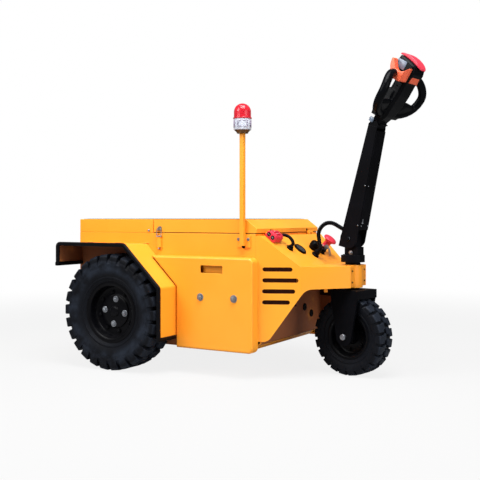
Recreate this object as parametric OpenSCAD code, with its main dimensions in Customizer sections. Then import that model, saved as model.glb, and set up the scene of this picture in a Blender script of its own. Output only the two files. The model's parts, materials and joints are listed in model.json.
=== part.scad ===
// Walk-behind electric tow tractor: two driven rear wheels, one steered front wheel
// under a narrow nose, a battery box with a hinged lid and a tiller on the steering axis.
// Millimetres, +X towards the tiller, +Y to the left, +Z up, floor at z = 0.

/* [Stations along the machine] */
// Steering axis, ahead of the origin
steer_x = 470; // [463:1:477]
// Steering axis to rear axle
wheelbase = 868; // [840:2:900]
// Rear wall behind the rear axle
rear_overhang = 277; // [265:1:290]
// Seam between battery box and front panels, behind the steering axis
seam_back = 281; // [278:1:286]
// Front face of the lid, behind the steering axis
lid_front_back = 276; // [274:1:279]
// Bend where the front panels start to taper, behind the steering axis
bend_back = 262; // [258:1:266]
// Foot of the sloped dashboard, behind the steering axis
dash_foot_back = 124; // [115:1:135]
// Nose's front face, ahead of the steering axis
nose_ahead = 23; // [18:1:30]

/* [Heights] */
// Underside of the battery box
box_z = 100; // [90:1:110]
// Top edge of the side walls, where the lid sits
seam_z = 548; // [530:1:560]
// Top of the sloped dashboard
dash_top_z = 540; // [534:1:543]
// Top of the front deck
deck_z = 424; // [415:1:430]
// Underside of the front deck at the nose
nose_z = 342; // [340:1:352]
// Underside of the floor at the front bulkhead
bulkhead_z = 134; // [126:1:140]

/* [Sheet metal] */
// Width over the side walls
body_w = 550; // [530:2:570]
// Width over the panels at the foot of the dashboard
dash_foot_w = 422; // [400:2:440]
// Width of the nose
nose_w = 160; // [150:2:176]
// Thickness of walls and panels
sheet = 4; // [3:0.5:5]
// Height of the lid
lid_h = 52; // [46:1:56]
// Rear edge of the lid ahead of the rear axle
lid_rear_ahead = 114; // [108:1:120]
// Upright lip at the lid's front
lid_lip = 16; // [12:1:20]
// Run of the slope above that lip
lid_slope = 48; // [40:1:56]
// Rubber seal between the side walls and the lid
seal_t = 2.7; // [2:0.1:4]
// Gap between the lid and the fixed rear cover
lid_gap = 4; // [3:0.5:6]
// Thickness of the rubber mats on top
mat_t = 3; // [2:0.5:4]

/* [Vents] */
// Height of one slot
vent_h = 16; // [12:1:20]
// Distance from slot to slot
vent_pitch = 41.2; // [36:0.2:44]
// Height of the lowest slot's middle
vent_z = 291; // [284:1:298]

/* [Side covers] */
// Front edge of the bolted side cover, ahead of the seam
cover_ahead = 11; // [8:1:14]
// Gap between the cover and the fender
cover_gap = 3; // [2:0.5:5]
// Thickness of the side cover
cover_t = 45; // [38:1:50]
// Top edge of the side cover
cover_top_z = 458; // [445:1:465]
// Length of its hand slot
hand_slot_len = 98; // [85:1:110]
// Height of its hand slot
hand_slot_h = 29; // [26:1:34]

/* [Fenders] */
// Fender's edging beyond the tyre's outer shoulder
fender_over = 6; // [4:1:10]
// Fender's front plate ahead of the rear axle
fender_front = 250; // [246:1:256]
// Front end of the fender's top ahead of the rear axle
fender_top_front = 80; // [74:1:86]
// Fender's rear flap behind the rear axle
fender_back = 266; // [260:1:270]
// Top of the fenders
fender_z = 504; // [498:1:512]
// Bend between the front plate and the slope above it
fender_bend_z = 340; // [334:1:346]
// Bottom of the fender's front plate
fender_foot_z = 135; // [125:1:150]
// Bottom of the fender's rear flap
fender_flap_z = 419; // [410:1:440]
// Width of the rubber edging
edging_w = 16; // [12:1:20]
// Thickness of the rubber edging
edging_t = 12; // [10:0.5:14]

/* [Rear wheels] */
// Rear tyre's outside diameter
rear_d = 465; // [450:1:470]
// Rear tyre's width
rear_w = 134; // [126:1:140]
// Gap between the side wall and the rear tyre
tyre_gap = 17; // [14:1:22]
// Rim diameter of the rear wheel
rear_rim_d = 236; // [225:1:245]
// Lugs around each half of a rear tyre
rear_lugs = 26; // [22:1:28]
// Depth of the rear tread
rear_tread = 15; // [10:0.5:18]

/* [Front wheel] */
// Front tyre's outside diameter
front_d = 304; // [296:1:308]
// Front tyre's width
front_w = 96; // [90:1:100]
// Rim diameter of the front wheel
front_rim_d = 172; // [160:1:180]
// Lugs around each half of the front tyre
front_lugs = 22; // [18:1:26]
// Depth of the front tread
front_tread = 9; // [6:0.5:10]
// Steering angle at rest, as the machine was left
steer_deg = -10; // [-20:1:20]

/* [Fork and steering head] */
// Width over the fork's legs
fork_w = 136; // [132:1:144]
// Thickness of a leg
fork_leg_t = 10; // [8:0.5:12]
// Top of the fork's crown plate
crown_z = 331; // [328:1:333]
// Thickness of the crown plate
crown_t = 12; // [10:1:14]
// Crown plate ahead of the steering axis
crown_ahead = 66; // [62:1:72]
// Crown plate behind the steering axis
crown_back = 60; // [54:1:66]
// Diameter of the steering shaft
shaft_d = 40; // [36:1:44]
// Running clearance of shafts, on the radius
fit = 0.05; // [0.02:0.01:0.1]
// Diameter of the collar on the deck
collar_d = 92; // [84:1:100]
// Tiller's tilt pivot above the floor
pivot_z = 528; // [524:1:536]

/* [Tiller] */
// Lean of the arm from upright, at rest
arm_lean = 13.7; // [10:0.1:18]
// Pivot to the head's seat, along the arm
arm_len = 441; // [420:1:460]
// Depth of the arm at its foot
arm_foot = 75; // [68:1:80]
// Depth of the arm at its top
arm_top = 40; // [36:1:46]
// Width of the arm
arm_w = 66; // [62:1:72]
// Lean of the control head from upright
head_lean = 32; // [26:1:38]
// Length of the control head
head_len = 292; // [286:1:298]
// Distance between the two grips' middles
grip_span = 288; // [280:2:298]
// Diameter of a grip
grip_d = 32; // [30:1:34]

/* [Mast and beacon] */
// Mast behind the steering axis
mast_back = 330; // [320:1:340]
// Side of the mast's square tube
mast_d = 17; // [15:1:20]
// Bottom of the mast
mast_foot_z = 503; // [499:1:508]
// Top of the mast
mast_z = 928; // [900:2:950]
// Diameter of the beacon
beacon_d = 71; // [66:1:76]
// Height of the beacon
beacon_h = 114; // [105:1:120]

/* [Tow coupling] */
// Height of the coupling's middle
hitch_z = 290; // [270:2:320]
// Hole for the tow pin
hitch_bore = 27; // [24:1:32]
// Gap between the coupling's jaws
hitch_gap = 52; // [46:1:60]

/* [Hidden] */
$fn = 48;

axle_x = steer_x - wheelbase;
rear_x = axle_x - rear_overhang;
seam_x = steer_x - seam_back;
lid_front_x = steer_x - lid_front_back;
bend_x = steer_x - bend_back;
dash_foot_x = steer_x - dash_foot_back;
nose_x = steer_x + nose_ahead;
half_w = body_w / 2;
lid_rear_x = axle_x + lid_rear_ahead;
rear_inner_y = half_w + tyre_gap;
rear_face_y = rear_inner_y + rear_w;
rear_mid_y = rear_inner_y + rear_w / 2;
lid_z = seam_z + seal_t + 0.3;
top_z = lid_z + lid_h;
seal_w = 14;
seat = 0.3;
bulkhead_x = steer_x - 264;
plan_h = top_z + 40;

// A point list with its second coordinate's sign changed, in reversed order.
function flipped(points) = [for (i = [len(points) - 1 : -1 : 0]) [points[i].x, -points[i].y]];
function unit(v) = v / norm(v);
function left_of(v) = [-v.y, v.x];

// Corners of a path set off by d to its left, mitred.
function offset_path(p, d) = [for (i = [0 : len(p) - 1])
    let (a = unit(i == 0 ? p[1] - p[0] : p[i] - p[i - 1]),
         b = unit(i == len(p) - 1 ? p[i] - p[i - 1] : p[i + 1] - p[i]),
         m = unit(left_of(a) + left_of(b)))
    p[i] + m * d / (m * left_of(a))];

// A path with its inner corners rounded: r is the radius, n the steps of each arc.
function rounded_path(p, r, n = 6) = [p[0],
    for (i = [1 : len(p) - 2])
        let (a = unit(p[i] - p[i - 1]), b = unit(p[i + 1] - p[i]),
             turn = acos(max(-1, min(1, a * b))),
             side = sign(a.x * b.y - a.y * b.x),
             start = p[i] - a * r * tan(turn / 2),
             centre = start + left_of(a) * r * side)
        for (k = [0 : n])
            let (t = turn * k / n)
            centre - side * left_of(a) * r * cos(t) + a * r * sin(t),
    p[len(p) - 1]];

// A smooth curve through the given points, n steps between each two.
function through(p, n) = let (last = len(p) - 1) concat(
    [for (i = [0 : last - 1], k = [0 : n - 1])
        let (t = k / n, a = p[max(i - 1, 0)], b = p[i], c = p[i + 1], d = p[min(i + 2, last)])
        ((2 * b) + (c - a) * t + (2 * a - 5 * b + 4 * c - d) * t * t
            + (3 * b - a - 3 * c + d) * t * t * t) / 2],
    [p[last]]);

// Point at a share t of the way through a cubic curve with four control points.
function bezier(c, t) = pow(1 - t, 3) * c[0] + 3 * t * pow(1 - t, 2) * c[1]
    + 3 * t * t * (1 - t) * c[2] + pow(t, 3) * c[3];
function curve(c, n) = [for (i = [0 : n]) bezier(c, i / n)];

// Outline of a rectangle with round corners, level with the x axis.
function rounded_box(x0, x1, half, r) = [
    for (q = [[x1 - r, half - r, 0], [x0 + r, half - r, 90], [x0 + r, r - half, 180], [x1 - r, r - half, 270]],
         a = [0 : 15 : 90]) [q.x + r * cos(q.z + a), q.y + r * sin(q.z + a)]];

// Outline of a bent sheet: the path is its right-hand skin, t its thickness.
function strip(p, t) = concat(p, [for (i = [len(p) - 1 : -1 : 0]) offset_path(p, t)[i]]);

// An XZ outline pushed out along Y, from y0 to y1.
module along_y(y0, y1) {
    translate([0, y1, 0]) rotate([90, 0, 0]) linear_extrude(height = y1 - y0) children();
}

// Both sides of the machine.
module both_sides() {
    children();
    mirror([0, 1, 0]) children();
}

// A level slot with round ends.
module slot(len, h) {
    for (x = [h / 2, len - h / 2]) translate([x, 0]) circle(d = h);
    translate([h / 2, -h / 2]) square([len - h, h]);
}

// Battery box: two side walls, rear wall, partition, floor and the turned-in rim that
// carries the seal. Its front is closed by the bulkhead's bent plate.
axle_hole_d = 96;
rear_partition_x = lid_rear_x - 6;
rim_w = 22;
foot_x = bulkhead_x - 60;
module body_shell() {
    inner = half_w - sheet;
    floor_z = box_z + sheet;
    rim_z = seam_z - sheet;
    color("orange") difference() {
        along_y(-half_w, half_w)
            polygon([[rear_x, box_z], [foot_x, box_z], [seam_x, bulkhead_z - 8], [seam_x, seam_z], [rear_x, seam_z]]);
        // Bay over the transaxle
        translate([rear_x + sheet, -inner, floor_z])
            cube([rear_partition_x - rear_x - 2 * sheet, 2 * inner, seam_z - box_z]);
        // Battery bay below the rim, open at its front
        along_y(-inner, inner)
            polygon([[rear_partition_x, floor_z], [foot_x, floor_z], [foot_x, box_z - 1],
                [seam_x + 1, box_z - 1], [seam_x + 1, rim_z], [rear_partition_x, rim_z]]);
        // Opening inside the rim
        translate([rear_partition_x + rim_w, -half_w + rim_w, rim_z - 1])
            cube([seam_x - rear_partition_x - 2 * rim_w, body_w - 2 * rim_w, sheet + 2]);
        // Holes for the axle tubes
        translate([axle_x, 0, rear_d / 2])
            rotate([90, 0, 0]) cylinder(d = axle_hole_d, h = body_w + 2, center = true);
    }
}

// Fixed cover over the drive unit, level with the lid.
module rear_cover() {
    inner = half_w - sheet;
    color("orange") difference() {
        translate([rear_x, -half_w, seam_z])
            cube([lid_rear_x - lid_gap - rear_x, body_w, top_z - seam_z]);
        translate([rear_x + sheet, -inner, seam_z - 1])
            cube([lid_rear_x - lid_gap - rear_x - 2 * sheet, 2 * inner, top_z - seam_z - sheet + 1]);
    }
}

// Ribbed rubber mat for loads, on the fixed cover.
module rear_mat() {
    color("dimgray") translate([rear_x + 12, -half_w + 12, top_z])
        cube([lid_rear_x - lid_gap - rear_x - 24, body_w - 24, mat_t]);
}

// Wall behind the front wheel, bent back at its foot to meet the box floor.
module front_bulkhead() {
    path = [[foot_x + seat, box_z], [foot_x + 8, box_z], [bulkhead_x + sheet, bulkhead_z],
        [bulkhead_x + sheet, dash_top_z - 2 * sheet]];
    color("orange") intersection() {
        along_y(-half_w, half_w) polygon(strip(path, sheet));
        linear_extrude(height = plan_h) polygon(concat(
            [[foot_x - 10, -half_w + sheet + 0.2]], offset_path(panel_plan, sheet + 0.2),
            flipped(offset_path(panel_plan, sheet + 0.2)), [[foot_x - 10, half_w - sheet - 0.2]]));
    }
}

// Plan of a front panel on the right: level with the side wall, then tapered twice to the nose.
panel_plan = [[seam_x, -half_w], [bend_x, -half_w], [dash_foot_x, -dash_foot_w / 2], [nose_x, -nose_w / 2]];
panel_foot_z = 142;
arch_foot_x = steer_x - 235;
arch_top_x = steer_x - 107;
panel_outline = concat(
    rounded_path([[seam_x, panel_foot_z], [arch_foot_x, panel_foot_z], [arch_top_x, nose_z - 3],
        [nose_x, nose_z]], 32),
    [[nose_x, deck_z], [dash_foot_x, deck_z], [bend_x, dash_top_z], [seam_x, dash_top_z]]);
// Ends of the slots ahead of their common start, from the lowest up.
vent_ends = [95, 113, 124, 104];
vent_start_x = bend_x + 7;

module panel_right() {
    difference() {
        intersection() {
            along_y(-half_w - 1, 0) polygon(panel_outline);
            linear_extrude(height = plan_h) polygon(strip(panel_plan, sheet));
        }
        for (i = [0 : 3])
            translate([vent_start_x, 0, vent_z + i * vent_pitch])
                along_y(-half_w - 20, -nose_w / 2) slot(vent_ends[i], vent_h);
    }
}
module front_panel_right() { color("orange") panel_right(); }
module front_panel_left() { color("orange") mirror([0, 1, 0]) panel_right(); }

// Ledge under the lid's lip and the slope that carries the controls.
dash_top = [bend_x, dash_top_z];
dash_foot = [dash_foot_x, deck_z];
dash_dir = unit(dash_foot - dash_top);
dash_normal = left_of(dash_dir);
dash_deg = atan2(dash_top_z - deck_z, dash_foot_x - bend_x);
// Room for a seam between the panels' inner faces and what lies between them.
function between_panels() = concat(
    offset_path(panel_plan, sheet + 0.2), flipped(offset_path(panel_plan, sheet + 0.2)));

module dashboard() {
    skin = [[seam_x + 0.2, dash_top_z], dash_top, dash_foot];
    color("orange") intersection() {
        along_y(-half_w, half_w) polygon(strip([for (i = [2 : -1 : 0]) skin[i]], sheet));
        linear_extrude(height = plan_h) polygon(between_panels());
    }
}

// Front deck: top plate, bottom plate, front face and the steering head's bearing tube.
head_tube_d = 76;
module nose() {
    depth = nose_x - dash_foot_x;
    color("orange") {
        difference() {
            union() {
                intersection() {
                    union() {
                        translate([dash_foot_x + 0.2, -half_w, deck_z - 6]) cube([depth - 0.2, body_w, 6]);
                        translate([nose_x - 90, -half_w, nose_z]) cube([90, body_w, 8]);
                        translate([nose_x - 6, -half_w, nose_z]) cube([6, body_w, deck_z - nose_z]);
                    }
                    linear_extrude(height = plan_h) polygon(between_panels());
                }
                translate([steer_x, 0, nose_z - 3]) cylinder(d = head_tube_d, h = deck_z - nose_z + 6);
            }
            translate([steer_x, 0, nose_z - 4]) cylinder(d = shaft_d + 2 * fit, h = deck_z - nose_z + 20);
        }
        // Tabs turned down under the deck
        both_sides() translate([nose_x - 90, -125, nose_z - 16]) cube([14, sheet, 18]);
    }
}

// Fender: one bent plate, open on its outer side, edged with rubber.
fender_front_x = axle_x + fender_front;
fender_path = [
    [fender_front_x, fender_foot_z],
    [fender_front_x, fender_bend_z],
    [axle_x + fender_top_front, fender_z],
    [axle_x - fender_back, fender_z],
    [axle_x - fender_back, fender_flap_z]];
fender_y = rear_face_y + fender_over;
fender_edge_y = fender_y - edging_w + 6;

module fender() {
    path = concat([[fender_front_x, fender_foot_z + edging_t + seat]], [for (i = [1 : 4]) fender_path[i]]);
    along_y(-fender_edge_y, -half_w - seat) polygon(strip(rounded_path(path, 14), sheet));
}
module edging() {
    spare = (edging_t - sheet) / 2;
    along_y(-fender_y, -fender_edge_y - seat)
        polygon(strip(rounded_path(offset_path(fender_path, -spare), 18), edging_t));
    // Lower edge of the front plate, up to the side cover
    translate([fender_front_x + spare - edging_t, -fender_y, fender_foot_z])
        cube([edging_t, fender_y - half_w - cover_t - seat, edging_t]);
}
module fender_right() { color("orange") fender(); }
module fender_left() { color("orange") mirror([0, 1, 0]) fender(); }
module fender_edging_right() { color("black") edging(); }
module fender_edging_left() { color("black") mirror([0, 1, 0]) edging(); }

// Bolted side cover: a pressed tray with a hand slot, its rear edge cut along the fender.
cover_front_x = seam_x + cover_ahead;
cover_r = 20;
cover_bolts = [230, 80];
cover_bolt_z = 303;
hand_slot_back = 180;
hand_slot_z = 411;

// Rear edge of the cover drawn in by inset: its foot, its bend and its top.
function cover_rear(inset) = let (
    e = offset_path([for (i = [0 : 2]) fender_path[i]], -cover_gap - inset),
    top = cover_top_z - inset)
    [[e[0].x, box_z + inset], e[1], e[1] + (e[2] - e[1]) * (top - e[1].y) / (e[2].y - e[1].y)];
function cover_front(inset) = let (x1 = cover_front_x - inset, z0 = box_z + inset,
    z1 = cover_top_z - inset, r = cover_r - inset / 2)
    concat(
        [for (a = [270 : 15 : 360]) [x1 - r + r * cos(a), z0 + r + r * sin(a)]],
        [for (a = [0 : 15 : 90]) [x1 - r + r * cos(a), z1 - r + r * sin(a)]]);
function cover_outline(inset) = let (e = cover_rear(inset))
    concat([e[0]], cover_front(inset), [e[2], e[1]]);
// The two convex parts of that outline: the upright one and the one over the fender's slope.
function cover_upright(inset) = let (e = cover_rear(inset))
    concat([e[0]], cover_front(inset), [[e[0].x, cover_top_z - inset]]);
function cover_slope(inset) = let (e = cover_rear(inset), lap = 60)
    [e[1], e[1] + [lap, -lap], [e[1].x + lap, e[2].y], e[2]];

module side_cover() {
    skin = 3;
    edge = 9;
    difference() {
        for (part = [0, 1]) hull() for (step = [[edge, 0], [3, 3], [0, edge]])
            along_y(-half_w - cover_t + step[0], -half_w - seat)
                polygon(part == 0 ? cover_upright(step[1]) : cover_slope(step[1]));
        along_y(-half_w - cover_t + skin, -half_w + 1) polygon(cover_outline(edge));
        translate([cover_front_x - hand_slot_back, -half_w - cover_t / 2, hand_slot_z])
            cube([hand_slot_len, cover_t + 2, hand_slot_h], center = true);
    }
    // Spacer sleeves behind the two bolts
    for (back = cover_bolts)
        translate([cover_front_x - back, -half_w - seat, cover_bolt_z]) rotate([90, 0, 0])
            cylinder(d = 28, h = cover_t - skin - seat + 1);
}
module side_cover_right() { color("orange") side_cover(); }
module side_cover_left() { color("orange") mirror([0, 1, 0]) side_cover(); }

// Battery: one plain block in its bay.
battery_top_z = 500;
module battery() {
    x0 = rear_partition_x + 6;
    color("dimgray") translate([x0, -half_w + sheet + 10, box_z + sheet + seat])
        cube([foot_x - 4 - x0, body_w - 2 * sheet - 20, battery_top_z - box_z - sheet]);
}

// Rear axle: differential housing, tubes, flanges and stub axles, with the drive motor.
stub_d = 40;
module transaxle() {
    tube_end = rear_mid_y - 14;
    color("dimgray") translate([axle_x, 0, rear_d / 2]) {
        rotate([90, 0, 0]) rotate([0, 0, 200]) rotate_extrude() polygon([[0, -tube_end - 18], [stub_d / 2, -tube_end - 18],
            [stub_d / 2, -tube_end], [37, -tube_end], [37, -120], [70, -70], [98, -44], [98, 44], [70, 70],
            [37, 120], [37, tube_end], [stub_d / 2, tube_end], [stub_d / 2, tube_end + 18], [0, tube_end + 18]]);
        // Saddles that carry the axle tubes on the box floor
        for (y = [-165, 165]) translate([-30, y - 16, box_z + sheet + seat - rear_d / 2])
            cube([60, 32, rear_d / 2 - box_z - sheet - 20]);
        // Motor lying ahead of the axle
        translate([60, 0, 20]) rotate([0, 90, 0])
            cylinder(d = 140, h = rear_partition_x - sheet - 6 - axle_x - 60);
    }
}

// Tow coupling: a bolted plate with two jaws and an empty pin hole.
jaw_t = 14;
jaw_w = 76;
jaw_reach = 46;
module tow_coupling() {
    color("black") difference() {
        union() {
            translate([rear_x - seat - 10, -62, hitch_z - 70]) cube([10, 124, 140]);
            for (z = [hitch_z - hitch_gap / 2 - jaw_t, hitch_z + hitch_gap / 2])
                translate([0, 0, z]) {
                    translate([rear_x - 10 - jaw_reach, -jaw_w / 2, 0]) cube([jaw_reach + 4, jaw_w, jaw_t]);
                    translate([rear_x - 10 - jaw_reach, 0, 0]) cylinder(d = jaw_w, h = jaw_t);
                }
        }
        translate([rear_x - 10 - jaw_reach, 0, hitch_z - 100]) cylinder(d = hitch_bore, h = 200);
    }
}

// Mast: square tube on a foot plate bolted to the side wall.
mast_x = steer_x - mast_back;
mast_plate_t = 5;
mast_y = -half_w - mast_plate_t - mast_d / 2;
module beacon_mast() {
    wall = 2;
    color("orange") difference() {
        union() {
            translate([mast_x - mast_d / 2, mast_y - mast_d / 2, mast_foot_z])
                cube([mast_d, mast_d, mast_z - mast_foot_z]);
            translate([mast_x - 29, -half_w - mast_plate_t, mast_foot_z - 7])
                cube([58, mast_plate_t - seat, seam_z - mast_foot_z + 2]);
        }
        translate([mast_x - mast_d / 2 + wall, mast_y - mast_d / 2 + wall, mast_foot_z - 1])
            cube([mast_d - 2 * wall, mast_d - 2 * wall, mast_z - mast_foot_z + 2]);
    }
}

// Beacon: ribbed clear base with a round foot, red domed lens above it.
module beacon_base() {
    color("white") translate([mast_x, mast_y, mast_z]) {
        translate([0, 0, seat]) cylinder(d = 46, h = 8);
        translate([0, 0, 8]) cylinder(d1 = 56, d2 = beacon_d - 4, h = 9);
        translate([0, 0, 17]) cylinder(d = beacon_d - 4, h = 38);
    }
}
module beacon_lens() {
    r = beacon_d / 2 - 3;
    color("red") translate([mast_x, mast_y, mast_z + 55 + seat]) {
        cylinder(d = beacon_d, h = 5);
        cylinder(r = r, h = beacon_h - 55 - r);
        translate([0, 0, beacon_h - 55 - r]) intersection() {
            sphere(r = r);
            cylinder(r = r, h = r);
        }
    }
}

// A place on the dashboard: s down the slope from its top edge, y across, normal up.
module on_dash(s, y) {
    translate([dash_top.x + dash_dir.x * s, y, dash_top.y + dash_dir.y * s])
        rotate([0, dash_deg, 0]) children();
}

// Battery power connector, two sockets facing right, its cable leaving on the left.
connector_s = -4;
connector_y = -half_w + 41;
connector_size = [46, 62, 30];
module power_connector() {
    l = connector_size.x;
    h = connector_size.z;
    color("crimson") on_dash(connector_s, connector_y) difference() {
        union() {
            along_y(0, connector_size.y)
                polygon([[0, seat], [l, seat], [l, h - 10], [l - 8, h], [8, h], [0, h - 10]]);
            translate([9, 14, seat]) cube([l - 18, 36, h + 5]);
        }
        for (x = [13, l - 13]) translate([x, -1, h / 2 + 1]) rotate([-90, 0, 0]) cylinder(d = 15, h = 24);
    }
}

// A round tube along a route: one polyhedron with a ring at each point. The route never
// runs along the given across direction.
function ring(p, dir, across, r, n) = let (side = unit(cross(dir, across)), up = cross(dir, side))
    [for (i = [0 : n - 1]) p + r * (cos(360 * i / n) * side + sin(360 * i / n) * up)];
function route_dir(p, i) = unit(p[min(i + 1, len(p) - 1)] - p[max(i - 1, 0)]);
module tube(route, d, across, n = 10) {
    last = len(route) - 1;
    points = [for (i = [0 : last]) each ring(route[i], route_dir(route, i), across, d / 2, n)];
    polyhedron(points, concat(
        [[for (i = [0 : n - 1]) i]],
        [for (k = [0 : last - 1], i = [0 : n - 1])
            [k * n + i, k * n + n + i, k * n + n + (i + 1) % n, k * n + (i + 1) % n]],
        [[for (i = [n - 1 : -1 : 0]) last * n + i]]));
}

// A dashboard place as a point, lifted by h along the normal.
function dash_point(s, y, h) = [dash_top.x + dash_dir.x * s + dash_normal.x * h, y,
    dash_top.y + dash_dir.y * s + dash_normal.y * h];

// Cable from the connector's end to its gland lower on the slope, as places on the slope.
cable_d = 12.5;
gland_s = 79;
gland_y = -half_w + 127;
gland_h = 16;
cable_y = connector_y + connector_size.y + 0.6;
cable_route = [[22, cable_y, 21], [22, cable_y + 3.4, 21], [22, cable_y + 8.4, 21], [31, cable_y + 18.4, 29],
    [48, gland_y, 34], [64, gland_y + 1, 33], [76, gland_y, 28], [gland_s, gland_y, 22],
    [gland_s, gland_y, gland_h + 0.8]];
module connector_cable() {
    color("black") tube(through([for (p = cable_route) dash_point(p[0], p[1], p[2])], 3), cable_d, [1, 0, 0]);
}

// Black fittings on the slope: cable gland, conduit gland, horn, stop switch collar and
// the key switch barrel.
conduit_s = 126;
conduit_y = 6;
conduit_gland_h = 24;
stop_s = 99;
stop_y = half_w - 153;
stop_base_h = 18;
key_s = 114;
key_y = stop_y - 31;
key_barrel_h = 18;
module seated(d, h, sides = 48) {
    translate([0, 0, seat]) cylinder(d = d, h = h - seat, $fn = sides);
}
module gland(foot_d, barrel_d, h) {
    seated(foot_d, 7, 6);
    seated(barrel_d, h);
}
module dash_fittings() {
    color("black") {
        on_dash(gland_s, gland_y) gland(30, 20, gland_h);
        on_dash(conduit_s, conduit_y) gland(32, 24, conduit_gland_h);
        // Horn with a narrower mouth ring
        on_dash(88, 48) {
            seated(40, 10);
            translate([0, 0, 9]) cylinder(d = 44, h = 18);
            translate([0, 0, 27]) cylinder(d1 = 44, d2 = 34, h = 5);
        }
        on_dash(stop_s, stop_y) {
            seated(33, 6);
            seated(29, stop_base_h);
        }
        on_dash(key_s, key_y) {
            seated(27, 5);
            seated(22, key_barrel_h);
        }
    }
}

// Round charge gauge, nearly flush with the slope.
module charge_gauge() {
    color("black") on_dash(86, -67) translate([0, 0, seat]) {
        cylinder(d = 56, h = 4);
        cylinder(d = 50, h = 7);
    }
}

// Mushroom head of the stop button.
module stop_button() {
    head_d = 57;
    color("red") on_dash(stop_s, stop_y) translate([0, 0, stop_base_h + seat]) {
        cylinder(d = 29, h = 30);
        translate([0, 0, 26]) cylinder(d1 = 32, d2 = head_d, h = 9);
        translate([0, 0, 35]) cylinder(d = head_d, h = 6);
        translate([0, 0, 41]) cylinder(d1 = head_d, d2 = 38, h = 7);
    }
}

// Key in the switch, with its tag hanging down the slope.
module key() {
    color("silver") on_dash(key_s, key_y) translate([0, 0, key_barrel_h + seat]) along_y(-1, 1) {
        square([5, 8]);
        translate([2.5, 14]) circle(d = 20);
        translate([8, 16]) rotate(-42) square([36, 9]);
    }
}

// Corrugated conduit from its gland over to the back of the tiller arm.
conduit_d = 14;
conduit_route = [[-146, 5, 520], [-148, 4, 546], [-138, 4, 569], [-119, 4, 585], [-98, 4, 589],
    [-78, 4, 584], [-58, 4, 573], [-38, 4, 563], [-22, 4, 558]];
module conduit() {
    start = [for (h = [0.6, 4, 12]) dash_point(conduit_s, conduit_y, conduit_gland_h + h)];
    color("black") tube(through(concat(start, [for (p = conduit_route) p + [steer_x, 0, 0]]), 2), conduit_d, [0, 1, 0]);
}

// Toggle latches: strap and lever on the side wall, loop and catch on the lid.
latch_x = lid_rear_x + 31;
latch_strap = [28, 2, 62];
latch_top = seam_z - 8;
latch_pin_d = 12;
latch_wire = 3.5;
latch_bar_z = lid_z + 21;
module latch_levers() {
    color("silver") both_sides() translate([latch_x, -half_w - seat, latch_top - latch_strap.z]) {
        translate([-latch_strap.x / 2, -latch_strap.y, 0]) cube(latch_strap);
        translate([-9, -10, 8]) cube([18, 8.5, 50]);
        translate([0, 0, 6]) rotate([90, 0, 0]) cylinder(d = latch_pin_d, h = 5);
    }
}
module latch_loops() {
    wire_z = latch_top + 0.4;
    color("silver") both_sides() translate([latch_x, -half_w - seat, 0]) {
        translate([-13, -3, lid_z + 6]) cube([26, 3, 18]);
        translate([0, 0, lid_z + 17]) rotate([90, 0, 0]) cylinder(d = latch_pin_d, h = 8);
        for (x = [-latch_strap.x / 2, latch_strap.x / 2 - latch_wire]) translate([x, -9, wire_z])
            cube([latch_wire, latch_wire, latch_bar_z + 0.4 - wire_z]);
        translate([-latch_strap.x / 2, -9, latch_bar_z]) cube([latch_strap.x, latch_wire, latch_wire]);
        translate([-10, -6, lid_z + 9]) cube([20, 3.5, 4]);
    }
}

// Rubber seal on the rim, under the lid's walls.
module lid_seal() {
    color("black") difference() {
        translate([lid_rear_x, -half_w + 1, seam_z])
            cube([lid_front_x - lid_rear_x - 6, body_w - 2, seal_t]);
        translate([lid_rear_x + seal_w, -half_w + seal_w, seam_z - 1])
            cube([lid_front_x - lid_rear_x - 6 - 2 * seal_w, body_w - 2 * seal_w, seal_t + 2]);
    }
}

// Lid: folded sheet with a sloped front and an upright lip, hinged at that lip.
hinge_d = 8;
hinge_x = lid_front_x + hinge_d / 2 + 0.5;
hinge_z = lid_z - 1.5;
hinge_pin_d = 4;
hinge_y = [-half_w + 88, half_w - 88];
knuckle = 16;
module lid() {
    outer = [[lid_rear_x, lid_z], [lid_front_x, lid_z], [lid_front_x, lid_z + lid_lip],
        [lid_front_x - lid_slope, top_z], [lid_rear_x, top_z]];
    inner = [[lid_rear_x + sheet, lid_z - 1], [lid_front_x - sheet, lid_z - 1],
        [lid_front_x - sheet, lid_z + lid_lip - 2], [lid_front_x - lid_slope - 2, top_z - sheet],
        [lid_rear_x + sheet, top_z - sheet]];
    color("orange") difference() {
        union() {
            difference() {
                along_y(-half_w, half_w) polygon(outer);
                along_y(-half_w + sheet, half_w - sheet) polygon(inner);
            }
            for (y = hinge_y) translate([hinge_x, y, hinge_z]) {
                rotate([90, 0, 0]) cylinder(d = hinge_d, h = knuckle, center = true);
                translate([lid_front_x - hinge_x - 1, -knuckle / 2, 1.5]) cube([hinge_x - lid_front_x + 1, knuckle, 8]);
            }
        }
        for (y = hinge_y) translate([hinge_x, y, hinge_z])
            rotate([90, 0, 0]) cylinder(d = hinge_pin_d + 2 * fit, h = knuckle + 2, center = true);
    }
}
module lid_mat() {
    x1 = lid_front_x - lid_slope;
    color("dimgray") translate([lid_rear_x + 12, -half_w + 12, top_z])
        cube([x1 - lid_rear_x - 24, body_w - 24, mat_t]);
}

// The hinges' fixed knuckles, pins and straps on the ledge ahead of the lid.
module lid_hinges() {
    side = 14;
    color("orange") for (y = hinge_y) translate([hinge_x, y, hinge_z]) {
        for (k = [-1, 1]) translate([0, k * (knuckle / 2 + 0.4 + side / 2), 0]) {
            rotate([90, 0, 0]) cylinder(d = hinge_d, h = side, center = true);
            translate([-1, -side / 2, dash_top_z + seat - hinge_z])
                cube([8, side, hinge_z - dash_top_z - 1]);
        }
        rotate([90, 0, 0]) cylinder(d = hinge_pin_d, h = knuckle + 2 * side, center = true);
    }
}

// Everything that turns with the steering is drawn straight ahead, then set to its rest angle.
module steered() {
    translate([steer_x, 0, 0]) rotate([0, 0, steer_deg]) children();
}

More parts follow.
